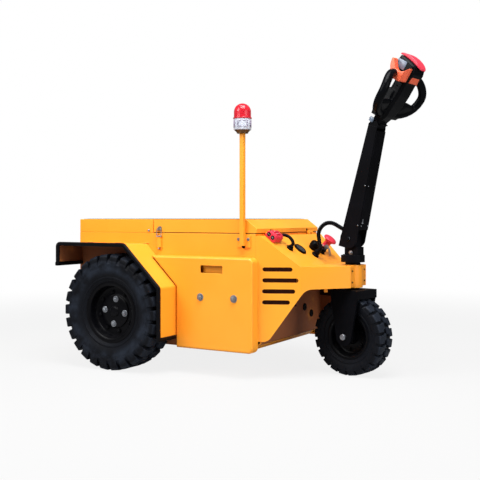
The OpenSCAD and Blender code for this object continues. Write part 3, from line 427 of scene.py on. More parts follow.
# A round tube along a route in metres; radius is a number or a function of the share along it
def tube(route, radius, sides):
    bm = bmesh.new()
    rings, side = [], None
    last = len(route) - 1
    for i, point in enumerate(route):
        along = (route[min(i + 1, last)] - route[max(i - 1, 0)]).normalized()
        side = along.orthogonal() if side is None else (side - along * side.dot(along))
        side.normalize()
        other = along.cross(side)
        size = radius(i / last) if callable(radius) else radius
        rings.append([bm.verts.new(point + size * (math.cos(t) * side + math.sin(t) * other))
                      for t in (2 * math.pi * k / sides for k in range(sides))])
    for a, b in zip(rings, rings[1:]):
        for k in range(sides):
            bm.faces.new((a[k], a[(k + 1) % sides], b[(k + 1) % sides], b[k]))
    bm.faces.new(rings[0][::-1])
    bm.faces.new(rings[-1])
    bmesh.ops.recalc_face_normals(bm, faces=bm.faces)
    return bm


# An outline of (x, z) or (x, y) points in millimetres, pushed from low to high
def prism(outline, low, high, place=Matrix(), axis="y"):
    bm = bmesh.new()
    ends = []
    for level in (low, high):
        ends.append([bm.verts.new(place @ (Vector((a, level, b) if axis == "y" else (a, b, level)) * mm))
                     for a, b in outline])
    bm.faces.new(ends[0])
    bm.faces.new(ends[1][::-1])
    for i in range(len(outline)):
        j = (i + 1) % len(outline)
        bm.faces.new((ends[0][i], ends[1][i], ends[1][j], ends[0][j]))
    bmesh.ops.recalc_face_normals(bm, faces=bm.faces)
    return bm


def asObject(source, name):
    mesh = bpy.data.meshes.new(name)
    source.to_mesh(mesh)
    source.free()
    made = bpy.data.objects.new(name, mesh)
    scene.collection.objects.link(made)
    return made


# Breaks an object's edges that turn by more than the angle, with a width in millimetres
def breakEdges(holder, width, segments, angle):
    softened = holder.modifiers.new("edges", "BEVEL")
    softened.width, softened.segments = width * mm, segments
    softened.limit_method, softened.angle_limit = "ANGLE", math.radians(angle)


# The evaluated mesh of an object, which is then taken out of the scene
def settled(holder):
    bpy.context.view_layer.update()
    mesh = bpy.data.meshes.new_from_object(holder.evaluated_get(bpy.context.evaluated_depsgraph_get()))
    bpy.data.objects.remove(holder)
    return mesh


# Dressed sheet metal, a copy of the node with its edges broken: the node, its finish, the width of the
# edges and, for rubber, how much fuller it gets, in millimetres
dressed = {
    "bodyShell": ("body_shell", "body_paint", 1.2),
    "rearCover": ("rear_cover", "body_paint", 2.0),
    "bulkhead": ("front_bulkhead", "body_paint", 1.0),
    "frontPanelRight": ("front_panel_right", "body_paint", 1.0),
    "frontPanelLeft": ("front_panel_left", "body_paint", 1.0),
    "slopedDash": ("dashboard", "body_paint", 0.8),
    "noseBox": ("nose", "body_paint", 0.8),
    "sideCoverRight": ("side_cover_right", "body_paint", 1.4),
    "sideCoverLeft": ("side_cover_left", "body_paint", 1.4),
    "fenderRight": ("fender_right", "body_paint", 1.0),
    "fenderLeft": ("fender_left", "body_paint", 1.0),
    "fenderEdgingRight": ("fender_edging_right", "edging_rubber", 3.4, 1.8),
    "fenderEdgingLeft": ("fender_edging_left", "edging_rubber", 3.4, 1.8),
    "batteryCase": ("battery", "battery_case", 4.0),
    "driveAxle": ("transaxle", "machine_grey", 1.5),
    "towCoupling": ("tow_coupling", "black_paint", 2.2),
    "beaconMast": ("beacon_mast", "body_paint", 0.9),
    "batteryLid": ("lid", "body_paint", 1.6),
    "lidSeal": ("lid_seal", "edging_rubber", 0.6),
    "lidHinges": ("lid_hinges", "body_paint", 0.6),
    "frontFork": ("fork", "black_paint", 1.6),
    "steeringHead": ("steering_head", "black_paint", 1.6),
    "tillerArm": ("tiller_arm", "black_paint", 1.0),
    "armCover": ("arm_cover", "black_paint", 0.7),
}


def dress(name, node, slot, edge, fuller=0.0):
    bm = bmesh.new()
    bm.from_mesh(frame["nodes"][node].data)
    bmesh.ops.remove_doubles(bm, verts=bm.verts, dist=1e-5)
    bmesh.ops.dissolve_limit(bm, angle_limit=math.radians(1), verts=bm.verts, edges=bm.edges)
    holder = asObject(bm, node)
    holder.data.shade_smooth()
    breakEdges(holder, edge, 2, 28)
    if fuller:
        swollen = holder.modifiers.new("fuller", "DISPLACE")
        swollen.mid_level, swollen.strength = 0, fuller * mm
    holder.modifiers.new("even", "WEIGHTED_NORMAL").keep_sharp = True
    addPiece(name, settled(holder), slot, frame["nodes"][node]["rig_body"], [node], sharp=None)


for name, spec in dressed.items():
    dress(name, *spec)
print("sheet metal dressed:", len(dressed))


# Geometry for what repeats: around an axis, at marked points, and in a row
def geometryTree(name, sockets):
    tree = bpy.data.node_groups.new(name, "GeometryNodeTree")
    tree.interface.new_socket(name="Geometry", in_out="OUTPUT", socket_type="NodeSocketGeometry")
    found = {label: tree.interface.new_socket(name=label, in_out="INPUT", socket_type=kind).identifier
             for label, kind in sockets}
    sheet = Sheet(tree)
    entry = sheet.node("NodeGroupInput")
    return tree, sheet, entry, found


def endTree(sheet, instances, entry):
    real = sheet.node("GeometryNodeRealizeInstances", {}, {0: instances})
    coated = sheet.node("GeometryNodeSetMaterial", {}, {"Geometry": real, "Material": entry.out("Finish")})
    sheet.node("NodeGroupOutput", {}, {0: coated})


def ringTree():
    tree, sheet, entry, found = geometryTree("partsRoundAnAxis", [
        ("Part", "NodeSocketObject"), ("Count", "NodeSocketInt"), ("First", "NodeSocketFloat"),
        ("Finish", "NodeSocketMaterial")])
    line = sheet.node("GeometryNodeMeshLine", {"mode": "OFFSET"}, {"Count": entry.out("Count"),
                                                                   "Offset": (0, 0, 0)})
    turn = sheet.node("GeometryNodeInputIndex") * (2 * math.pi) / entry.out("Count") + entry.out("First")
    spin = sheet.node("ShaderNodeCombineXYZ", {}, {"Z": turn})
    shape = sheet.node("GeometryNodeObjectInfo", {}, {"Object": entry.out("Part")}).out("Geometry")
    endTree(sheet, sheet.node("GeometryNodeInstanceOnPoints", {}, {"Points": line, "Instance": shape,
                                                                   "Rotation": spin}), entry)
    return tree, found


def pointTree():
    tree, sheet, entry, found = geometryTree("partsAtMarks", [
        ("Marks", "NodeSocketObject"), ("Part", "NodeSocketObject"), ("Size", "NodeSocketFloat"),
        ("Finish", "NodeSocketMaterial")])
    marks = sheet.node("GeometryNodeObjectInfo", {}, {"Object": entry.out("Marks")}).out("Geometry")
    facing = sheet.node("GeometryNodeInputNamedAttribute", {"data_type": "FLOAT_VECTOR"}, {"Name": "facing"})
    turned = sheet.node("FunctionNodeAlignRotationToVector", {"axis": "Z"}, {"Vector": facing})
    shape = sheet.node("GeometryNodeObjectInfo", {}, {"Object": entry.out("Part")}).out("Geometry")
    endTree(sheet, sheet.node("GeometryNodeInstanceOnPoints", {}, {
        "Points": marks, "Instance": shape, "Rotation": turned, "Scale": entry.out("Size")}), entry)
    return tree, found


def rowTree():
    tree, sheet, entry, found = geometryTree("partsInARow", [
        ("Part", "NodeSocketObject"), ("Count", "NodeSocketInt"), ("Start", "NodeSocketVector"),
        ("Step", "NodeSocketVector"), ("Finish", "NodeSocketMaterial")])
    line = sheet.node("GeometryNodeMeshLine", {"mode": "OFFSET"}, {
        "Count": entry.out("Count"), "Start Location": entry.out("Start"), "Offset": entry.out("Step")})
    shape = sheet.node("GeometryNodeObjectInfo", {}, {"Object": entry.out("Part")}).out("Geometry")
    endTree(sheet, sheet.node("GeometryNodeInstanceOnPoints", {}, {"Points": line, "Instance": shape}), entry)
    return tree, found


trees = {"ring": ringTree(), "marks": pointTree(), "row": rowTree()}


def grow(kind, values):
    tree, found = trees[kind]
    holder = bpy.data.objects.new("repeat", bpy.data.meshes.new("repeat"))
    modifier = holder.modifiers.new("repeat", "NODES")
    modifier.node_group = tree
    for label, value in values.items():
        modifier[found[label]] = value
    scene.collection.objects.link(holder)
    return settled(holder)


def marksObject(marks):  # places and facings in metres
    mesh = bpy.data.meshes.new("marks")
    mesh.from_pydata([tuple(p) for p, _ in marks], [], [])
    facing = mesh.attributes.new("facing", "FLOAT_VECTOR", "POINT")
    for i, (_, direction) in enumerate(marks):
        facing.data[i].vector = direction
    made = bpy.data.objects.new("marks", mesh)
    scene.collection.objects.link(made)
    return made


def discard(*objects):
    for o in objects:
        bpy.data.objects.remove(o)


# Fasteners, drawn once at unit size: 1 is the head's width across its flats
def hexHead(washer=True):
    parts = []
    if washer:
        parts.append(spun([(0, 0), (860, 0), (860, 70), (820, 100), (0, 100)], 24))
    flats = spun([(0, 90), (575, 90), (575, 440), (480, 520), (0, 520)], 6)
    parts += [flats, spun([(0, 500), (300, 500), (300, 620), (240, 660), (0, 660)], 12)]
    return asObject(joined(parts), "hexHead")


def roundHead():
    return asObject(spun([(0, 0), (500, 0), (500, 120), (440, 300), (280, 400), (190, 420), (170, 260),
                          (0, 260)], 16), "roundHead")


fastenerParts = {"hex": hexHead(), "nut": hexHead(washer=False), "round": roundHead()}


def fasten(name, shape, size, marks, body, slot="zinc"):
    holder = marksObject(marks)
    mesh = grow("marks", {"Marks": holder, "Part": fastenerParts[shape], "Size": size,
                          "Finish": finishes[slot]})
    discard(holder)
    addPiece(name, mesh, slot, body, sharp=30)


right, left = Vector((0, -1, 0)), Vector((0, 1, 0))

# Tyres: a spun carcass and two rows of stepped lugs
rearTyre = {
    "radius": 232.5, "depth": 15, "half": 67, "lugs": 26, "lugTurn": (-4.7, 4.7), "innerTurn": (-1.0, 6.6),
    "edge": 2.2, "sheenBand": 1,
    "wall": [(118, 38), (118.6, 45), (121, 48.5), (125, 50.5), (130, 53.6), (134, 55.4), (136, 57.9),
             (140, 58.4), (142, 57.4), (150, 60.6), (160, 63.2), (170, 64.8), (179, 65.2), (186, 64.6),
             (188.5, 66.2), (192, 66.4), (194.5, 64.6), (200, 63.6), (207, 60.5), (213, 56), (216.6, 49),
             (217.5, 38), (217.5, 12)],
}
frontTyre = {
    "radius": 152, "depth": 9, "half": 48, "lugs": 22, "lugTurn": (-5.9, 5.9), "innerTurn": (-1.4, 8.2),
    "edge": 1.7, "sheenBand": 0,
    "wall": [(86, 27), (86.6, 32), (88.5, 35), (92, 37.2), (97, 40), (100, 41.2), (102, 43), (105, 43.2),
             (107, 42), (113, 44.4), (119, 45.8), (124, 46.2), (128, 45.6), (130, 46.9), (132.5, 46.9),
             (134.5, 45.2), (138, 43.2), (141.4, 39.5), (143, 34), (143, 10)],
}


# One lug: stations across the tread, each with its two edges and its height
def lugMesh(tyre):
    r, half, deep, edge = tyre["radius"], tyre["half"], tyre["depth"], tyre["edge"]
    (outA, outB), (inA, inB) = tyre["lugTurn"], tyre["innerTurn"]
    stations = [(3, inA + 0.4, inB - 0.4, r - deep * 0.55), (4.5, inA, inB, r - edge * 0.6),
                (7, inA, inB, r), (half * 0.30, inA, inB, r), (half * 0.42, outA, outB, r),
                (half * 0.74, outA, outB, r - 0.4), (half * 0.86, outA, outB, r - 1.6),
                (half * 0.96, outA, outB, r - deep * 0.45),
                (half * 0.998, outA + 0.2, outB - 0.2, r - deep * 0.85),
                (half, outA + 0.4, outB - 0.4, r - deep * 1.6),
                (half * 0.965, outA + 0.7, outB - 0.7, r - deep * 2.6)]
    bm = bmesh.new()
    rows = []
    for z, a, b, top in stations:
        foot = min(top, r - deep) - 4 if z < half * 0.95 else top - deep * 1.0
        step = math.degrees(edge / r)
        row = [(a - 0.35, foot), (a, top - edge), (a + step, top), (b - step, top), (b, top - edge),
               (b + 0.35, foot)]
        rows.append([bm.verts.new(Vector((h * math.cos(math.radians(t)), h * math.sin(math.radians(t)), z))
                                  * mm) for t, h in row])
    for p, q in zip(rows, rows[1:]):
        for i in range(5):
            bm.faces.new((p[i], p[i + 1], q[i + 1], q[i]))
        bm.faces.new((p[5], p[0], q[0], q[5]))
    bm.faces.new(rows[0])
    bm.faces.new(rows[-1])
    bmesh.ops.recalc_face_normals(bm, faces=bm.faces)
    return bm


# Keeps each point's radius, whether it is tread, and its share of the tyre's radius, for the rubber's rings
# and painted sheen
def markWheel(mesh, place, tyre):
    back = place.inverted()
    values = mesh.attributes.new("wheel", "FLOAT_VECTOR", "POINT")
    for i, v in enumerate(mesh.vertices):
        p = back @ v.co
        radius = math.hypot(p.x, p.y)
        tread = 1.0 if radius > (tyre["radius"] - tyre["depth"] * 0.7) * mm else 0.0
        values.data[i].vector = (radius, tread, tyre["sheenBand"] * radius / tyre["radius"] / mm)


def makeTyre(name, tyre, place, body, node):
    wall = tyre["wall"]
    carcass = spun(wall + [(r, -z) for r, z in reversed(wall)], 120, closed=True)
    one = lugMesh(tyre)
    mirrored = one.copy()
    bmesh.ops.scale(mirrored, vec=(1, 1, -1), verts=mirrored.verts)
    bmesh.ops.recalc_face_normals(mirrored, faces=mirrored.faces)
    outer, inner = asObject(one, "lug"), asObject(mirrored, "lug")
    pitch = 2 * math.pi / tyre["lugs"]
    rows = [grow("ring", {"Part": part, "Count": tyre["lugs"], "First": first,
                          "Finish": finishes["tyre_rubber"]})
            for part, first in ((outer, 0.0), (inner, pitch / 2))]
    discard(outer, inner)
    whole = joined([carcass, *rows])
    bmesh.ops.transform(whole, matrix=place, verts=whole.verts)
    mesh = bpy.data.meshes.new(name)
    whole.to_mesh(mesh)
    whole.free()
    markWheel(mesh, place, tyre)
    addPiece(name, mesh, "tyre_rubber", body, [node], sharp=38)


upright = rotated(90, "X")
wheelX, wheelY, wheelZ = machine["axleX"], machine["rearWheelY"], machine["rearRadius"]
wheelPlaces = {
    "Right": moved(wheelX, -wheelY, wheelZ) @ upright,
    "Left": moved(wheelX, wheelY, wheelZ) @ rotated(180, "Z") @ upright,
    "front": steerFrame @ moved(0, 0, machine["frontRadius"]) @ upright,
}
for side in ("Right", "Left"):
    makeTyre("rearTyre" + side, rearTyre, wheelPlaces[side], "rear_wheel_" + side.lower(),
             "rear_tyre_" + side.lower())
makeTyre("frontTyre", frontTyre, wheelPlaces["front"], "front_wheel", "front_tyre")

# Rims: dished disc, rolled flanges, bolts that clamp the two halves, and nuts on the hub
rearRim = {
    "outline": [(0, 31), (12, 31), (18, 30), (21, 27.5), (22.5, 24.5), (40, 24), (61, 23.5), (65, 21.5),
                (66.5, 16), (70, 14.4), (91, 14.2), (97, 16), (100.5, 21), (102.5, 30), (103.6, 43),
                (105.2, 48.6), (109, 51.4), (117, 52.4), (122.6, 51.6), (124.4, 49.6), (122.6, 47.6),
                (118.6, 46.4), (117.4, 44), (117.4, -44), (118.6, -46.4), (122.6, -47.6), (124.4, -49.6),
                (122.6, -51.6), (117, -52.4), (109, -51.4), (105.2, -48), (103, -36), (101, -8), (96, 2),
                (88, 4.4), (66, 4), (60, -9), (20.3, -9), (20.3, 8), (0, 8)],
    "nutRing": 50, "nuts": 4, "nutTurn": -6, "nutSize": 15, "nutSeat": 23.6,
    "boltRing": 80, "bolts": 8, "boltTurn": 12, "boltSize": 13, "boltSeat": 14.2,
}
frontRim = {
    "outline": [(11.05, 52), (27, 52), (30, 49.5), (30, 13), (34, 8), (64, 6.5), (69, 9), (72.5, 16),
                (74, 28), (76.5, 34.5), (80.5, 37.6), (86.5, 38.6), (90, 37.4), (88.8, 35), (86, 33.6),
                (85.6, 30)],
    "boltRing": 54, "bolts": 6, "boltTurn": 20, "boltSize": 13, "boltSeat": 6.8,
}


# Bolts or nuts of a rim, on their ring
def wheelBolts(name, rim, kind, place, body, slot, shape):
    ring, count = rim[kind + "Ring"], rim[kind + "s"]
    marks = []
    for i in range(count):
        t = math.radians(rim[kind + "Turn"] + 360 * i / count)
        spot = Vector((ring * math.cos(t), ring * math.sin(t), rim[kind + "Seat"]))
        marks.append((place @ (spot * mm), place.to_3x3() @ Vector((0, 0, 1))))
    fasten(name, shape, rim[kind + "Size"] * mm, marks, body, slot)


for side in ("Right", "Left"):
    body = "rear_wheel_" + side.lower()
    shape = spun(rearRim["outline"], 96, wheelPlaces[side], closed=True)
    addPiece("rearRim" + side, shape, "rim_paint", body, ["rear_rim_" + side.lower()], sharp=35)
    wheelBolts("wheelNuts" + side, rearRim, "nut", wheelPlaces[side], body, "zinc", "hex")
    wheelBolts("rimBolts" + side, rearRim, "bolt", wheelPlaces[side], body, "rim_paint", "nut")
frontOutline = frontRim["outline"] + [(r, -z) for r, z in reversed(frontRim["outline"])]
shape = spun(frontOutline, 96, wheelPlaces["front"], closed=True)
addPiece("frontRim", shape, "rim_paint", "front_wheel", ["front_rim"], sharp=35)
for side, place in (("Right", wheelPlaces["front"]), ("Left", wheelPlaces["front"] @ rotated(180, "X"))):
    wheelBolts("frontRimBolts" + side, frontRim, "bolt", place, "front_wheel", "rim_paint", "nut")
print("wheels made")

# Mats: a thin sheet of rubber with fine ribs along the machine
mats = {"rib": 2.6, "pitch": 5.6, "base": 1.2, "ribHigh": 0.7, "margin": 9}


def makeMat(name, node, body):
    low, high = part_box(node)
    x0, x1, y0, y1, z0 = (v / mm for v in (low.x, high.x, low.y, high.y, low.z))
    base = block((x0, y0, z0), (x1, y1, z0 + mats["base"]), bevel=0.4)
    inset, half = mats["margin"], mats["rib"] / 2
    crest = mats["ribHigh"]
    section = [(-half, -0.4), (half, -0.4), (half * 0.55, crest), (-half * 0.55, crest)]
    rib = asObject(prism(section, 0, x1 - x0 - 2 * inset, rotated(-90, "Z")), "rib")
    count = int((y1 - y0 - 2 * inset) / mats["pitch"]) + 1
    first = (y0 + y1) / 2 - (count - 1) * mats["pitch"] / 2
    ribs = grow("row", {"Part": rib, "Count": count,
                        "Start": Vector((x0 + inset, first, z0 + mats["base"])) * mm,
                        "Step": Vector((0, mats["pitch"], 0)) * mm, "Finish": finishes["mat_rubber"]})
    discard(rib)
    addPiece(name, joined([base, ribs]), "mat_rubber", body, [node])


makeMat("rearMat", "rear_mat", "chassis")
makeMat("lidMat", "lid_mat", "lid")
print("mats laid")


# Places on the sloped dashboard: s down the slope, y across, the normal up
def onDash(s, y, lift=0):
    top, foot = Vector(machine["dashTop"]), Vector(machine["dashFoot"])
    along = (foot - top).normalized()
    place = top + along * s * mm
    turn = math.atan2(top.y - foot.y, foot.x - top.x)
    return moved(place.x, y * mm, place.y) @ Matrix.Rotation(turn, 4, "Y") @ moved(0, 0, lift * mm)


# Battery connector: two moulded halves, sockets with their contact blades, and two bolted grips on top
connector = {"s": -4, "y": -234, "length": 46, "width": 62, "height": 30, "socketInset": 13,
             "grips": (12.5, 26), "gripWidth": 8}


def makeConnector():
    place = onDash(connector["s"], connector["y"])
    l, w, h = connector["length"], connector["width"], connector["height"]
    outline = [(0.5, 0.3), (l - 0.5, 0.3), (l, 1.5), (l, h - 11), (l - 2.2, h - 7), (l - 7, h - 1.2),
               (l - 10, h), (10, h), (7, h - 1.2), (2.2, h - 7), (0, h - 11), (0, 1.5)]
    holder = asObject(joined([prism(outline, 2, w / 2 - 0.6), prism(outline, w / 2 + 0.6, w)]), "halves")
    breakEdges(holder, 1.6, 3, 40)
    halves = settled(holder)
    core = block((1.4, w / 2 - 1, 1.2), (l - 1.4, w / 2 + 1, h - 2.4))
    gripWidth, sockets = connector["gripWidth"], (connector["socketInset"], l - connector["socketInset"])
    grips = [block((x, 14, h - 2), (x + gripWidth, 50, h + 4.6), bevel=1.6) for x in connector["grips"]]
    bolts = [spun([(0, -2), (3.4, -2), (3.4, 0.8), (2.6, 1.4), (0, 1.4)], 16,
                  moved((x + gripWidth / 2) * mm, 20 * mm, (h + 4.2) * mm)) for x in connector["grips"]]
    outward = upright.inverted()
    collars = [spun([(8.6, -1.6), (10.2, -1.6), (10.2, 3.2), (8.6, 3.2)], 28,
                    moved(x * mm, 0, (h / 2 + 1) * mm) @ outward, closed=True) for x in sockets]
    whole = joined([halves, core, *grips, *collars])
    bmesh.ops.transform(whole, matrix=place, verts=whole.verts)
    addPiece("batteryConnector", whole, "red_plastic", "chassis", ["power_connector"])
    # painted shade: dark discs standing for the depth of the socket openings
    dark = joined([spun([(0, -1), (8.8, -1), (8.8, 1.6), (0, 1.6)], 28,
                        moved(x * mm, 0.6 * mm, (h / 2 + 1) * mm) @ outward) for x in sockets])
    bmesh.ops.transform(dark, matrix=place, verts=dark.verts)
    addPiece("connectorSockets", dark, "black_plastic", "chassis", finish="socketShade")
    blades = joined([block((x - 3.6, -1.6, h / 2 - 0.2), (x + 3.6, 1, h / 2 + 2.2), bevel=0.4)
                     for x in sockets] + bolts)
    bmesh.ops.transform(blades, matrix=place, verts=blades.verts)
    addPiece("connectorBlades", blades, "zinc", "chassis")


makeConnector()


# Cable and conduit: both held at both ends, along the routes of the solids
def dashPoint(s, y, lift):
    return onDash(s, y, lift).translation


cable = {"radius": 6.2, "route": [(22, -171.4, 21), (22, -168, 21), (22, -163, 21), (31, -153, 29),
                                  (48, -148, 34), (64, -147, 33), (76, -148, 28), (79, -148, 22),
                                  (79, -148, 16.8)]}
cableRoute = smoothRoute([dashPoint(*p) for p in cable["route"]], 8)
addPiece("connectorCable", tube(cableRoute, cable["radius"] * mm, 24), "edging_rubber", "chassis",
         ["connector_cable"])

conduit = {"core": 6.6, "crest": 8.8, "pitch": 7.0, "foot": (126, 6, 24), "bend": [
    (-146, 5, 520), (-148, 4, 546), (-138, 4, 569), (-119, 4, 585), (-98, 4, 589), (-78, 4, 584),
    (-58, 4, 573), (-38, 4, 563), (-22, 4, 558)]}


def conduitTree():
    tree, sheet, entry, found = geometryTree("corrugatedTube", [
        ("Route", "NodeSocketObject"), ("Core", "NodeSocketFloat"), ("Crest", "NodeSocketFloat"),
        ("Pitch", "NodeSocketFloat"), ("Finish", "NodeSocketMaterial")])
    route = sheet.node("GeometryNodeObjectInfo", {}, {"Object": entry.out("Route")}).out("Geometry")
    line = sheet.node("GeometryNodeMeshToCurve", {}, {"Mesh": route})
    fine = sheet.node("GeometryNodeResampleCurve", {"mode": "LENGTH"},
                      {"Curve": line, "Length": entry.out("Pitch") / 6})
    along = sheet.node("GeometryNodeSplineParameter").out("Length")
    wave = sheet.maths("COSINE", along / entry.out("Pitch") * (2 * math.pi)) * 0.5 + 0.5
    size = entry.out("Core") + (entry.out("Crest") - entry.out("Core")) * sheet.maths("POWER", wave, 0.6)
    sized = sheet.node("GeometryNodeSetCurveRadius", {}, {"Curve": fine, "Radius": size})
    circle = sheet.node("GeometryNodeCurvePrimitiveCircle", {}, {"Resolution": 20, "Radius": 1.0})
    skin = sheet.node("GeometryNodeCurveToMesh", {}, {"Curve": sized, "Profile Curve": circle,
                                                      "Scale": size, "Fill Caps": True})
    endTree(sheet, skin, entry)
    return tree, found


def makeConduit():
    s, y, top = conduit["foot"]
    points = [dashPoint(s, y, top + h) for h in (0.6, 4, 12)]
    points += [Vector((x, y1, z)) * mm + Vector((machine["steerX"], 0, 0)) for x, y1, z in conduit["bend"]]
    route = smoothRoute(points, 8)
    mesh = bpy.data.meshes.new("route")
    mesh.from_pydata([tuple(p) for p in route], [(i, i + 1) for i in range(len(route) - 1)], [])
    holder = bpy.data.objects.new("route", mesh)
    scene.collection.objects.link(holder)
    trees["conduit"] = conduitTree()
    skin = grow("conduit", {"Route": holder, "Core": conduit["core"] * mm, "Crest": conduit["crest"] * mm,
                            "Pitch": conduit["pitch"] * mm, "Finish": finishes["black_plastic"]})
    discard(holder)
    made = addPiece("tillerConduit", skin, "black_plastic", None, ["conduit"], sharp=60)
    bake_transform(made)


makeConduit()
print("cable and conduit made")

# Fittings on the slope: glands, horn, stop switch, key switch and gauge
fittings = {"cableGland": (79, -148), "conduitGland": (126, 6), "horn": (88, 48), "stop": (99, 122),
            "key": (114, 91), "gauge": (86, -67)}


def ribbedNut(size, high, sides, place):
    return spun([(0, 0.3), (size, 0.3), (size * 1.04, 1.2), (size * 1.04, high - 1), (size * 0.98, high),
                 (0, high)], sides, place)


def makeFittings():
    parts = []
    place = onDash(*fittings["cableGland"])
    parts += [ribbedNut(15, 7, 6, place),
              spun([(0, 0.3), (9.4, 0.3), (9.4, 8), (10, 8.6), (10, 12.4), (8.8, 14.8), (7.2, 16),
                    (6.6, 15.6), (0, 15.6)], 32, place)]
    place = onDash(*fittings["conduitGland"])
    parts += [ribbedNut(16, 7, 6, place),
              spun([(0, 0.3), (11.4, 0.3), (11.4, 9), (12, 9.6), (12, 19), (10.8, 22.4), (8.4, 24),
                    (0, 24)], 32, place)]
    place = onDash(*fittings["horn"])
    parts += [spun([(0, 0.3), (19, 0.3), (20, 1.2), (20, 8), (21.4, 10), (22, 12), (22, 25), (21, 28),
                    (19, 30.6), (17.4, 32), (15.4, 32), (14.4, 30.6), (13.2, 29.8), (11.6, 30.8),
                    (9.8, 30.8), (8.8, 29.6), (5.6, 29.2), (3.2, 30.2), (0, 30.6)], 48, place)]
    place = onDash(*fittings["stop"])
    parts += [spun([(0, 0.3), (15.6, 0.3), (16.5, 1.2), (16.5, 4.8), (15.4, 6), (13.6, 6.2), (13.6, 9),
                    (14.5, 9.6), (14.5, 16.4), (13.4, 18), (0, 18)], 40, place)]
    place = onDash(*fittings["key"])
    parts += [spun([(0, 0.3), (12.8, 0.3), (13.5, 1), (13.5, 4.2), (12.4, 5), (10.4, 5.2), (10.4, 12),
                    (11, 12.6), (11, 17), (10, 18), (3, 18), (3, 16.6), (0, 16.6)], 36, place)]
    addPiece("dashFittings", joined(parts), "black_plastic", "chassis", ["dash_fittings"], sharp=30)
    # Serrations of the horn's rim
    rib = asObject(block((21.2, -0.9, 13), (22.0, 0.9, 24), bevel=0.3), "rib")
    ribs = grow("ring", {"Part": rib, "Count": 30, "First": 0.0, "Finish": finishes["black_plastic"]})
    ribs.transform(onDash(*fittings["horn"]))
    discard(rib)
    addPiece("hornRibs", ribs, "black_plastic", "chassis")


def makeStopButton():
    place = onDash(*fittings["stop"], 18.3)
    outline = [(0, 0), (13.4, 0), (14.2, 0.8), (14.4, 4), (14.0, 14), (14.2, 22), (16, 27), (20.5, 31),
               (25.8, 34), (28, 36), (28.5, 38.4), (28.2, 40.6), (26.6, 43.2), (23, 45.4), (17, 47.2),
               (9, 48), (0, 48)]
    addPiece("stopHead", spun(outline, 48, place), "red_plastic", "chassis", ["stop_button"], sharp=50)
    ring = spun([(14.5, 2.2), (15.2, 2.2), (15.4, 2.8), (15.4, 4.6), (15.2, 5.2), (14.5, 5.2)], 40, place,
                closed=True)
    addPiece("stopRing", ring, "zinc", "chassis")


def makeGauge():
    place = onDash(*fittings["gauge"])
    bezel = spun([(0, 0.3), (27.4, 0.3), (28, 1), (28, 3.6), (27.2, 4.3), (25, 4.5), (24.8, 6.8), (24, 7.3),
                  (22.4, 7.3), (21.6, 6.6), (21.4, 5.2), (0, 5.2)], 64, place)
    addPiece("chargeGauge", bezel, "black_plastic", "chassis", ["charge_gauge"], sharp=28)
    face = spun([(0, 5.1), (21.2, 5.1), (21.2, 5.5), (0, 5.5)], 48, place)
    addPiece("gaugeFace", face, "black_plastic", "chassis", finish="dialFace")
    marks = []
    for i in range(11):
        turn = rotated(-130 + 26 * i, "Z")
        long = 4.4 if i % 5 == 0 else 2.6
        marks.append(block((19.6 - long, -0.35, 5.5), (19.6, 0.35, 5.75), place @ turn, bevel=0.06))
    marks.append(prism([(-3, -0.9), (16, -0.25), (16, 0.25), (-3, 0.9)], 5.9, 6.2, place @ rotated(70, "Z"),
                       "z"))
    addPiece("gaugeMarks", joined(marks), "black_plastic", "chassis", finish="dialMarks")


def makeKey():
    place = onDash(*fittings["key"], 18.3)
    bow = []
    for k in range(28):
        t = 2 * math.pi * k / 28
        bow.append((2.5 + 10 * math.cos(t), 14 + 10 * math.sin(t) * 0.9))
    blade = block((0, -0.8, 0), (5, 0.8, 8), place, bevel=0.25)
    hoop = spun([(5.4, -0.7), (6.6, -0.7), (6.9, 0), (6.6, 0.7), (5.4, 0.7), (5.1, 0)], 24,
                place @ moved(0.010, 0, 0.019) @ rotated(62, "Y"), closed=True)
    tag = block((0, -0.8, 0), (32, 0.8, 9), place @ moved(0.012, 0, 0.014) @ rotated(42, "Y"), bevel=0.35)
    addPiece("switchKey", joined([prism(bow, -1, 1, place), blade, hoop, tag]), "zinc", "chassis", ["key"])


makeFittings()
makeStopButton()
makeGauge()
makeKey()
print("dashboard fitted")

# Beacon: foot, clear base with its lamp windows, and a domed red lens over the lamp
beacon = {"domeFoot": 26.4, "domeRadius": (32.5, 30.2), "lensFoot": 0.055, "lampRings": 9,
          "frames": [((-20, -34.2, 23.4), (20, -32.8, 25)), ((-20, -34.2, 46), (20, -32.8, 47.6)),
                     ((-20, -34.2, 24), (-18.6, -28, 47)), ((18.6, -34.2, 24), (20, -28, 47))]}


def domeArc(radius, turns):
    arc = [math.radians(t) for t in turns]
    return [(radius * math.cos(t), beacon["domeFoot"] + radius * math.sin(t)) for t in arc]


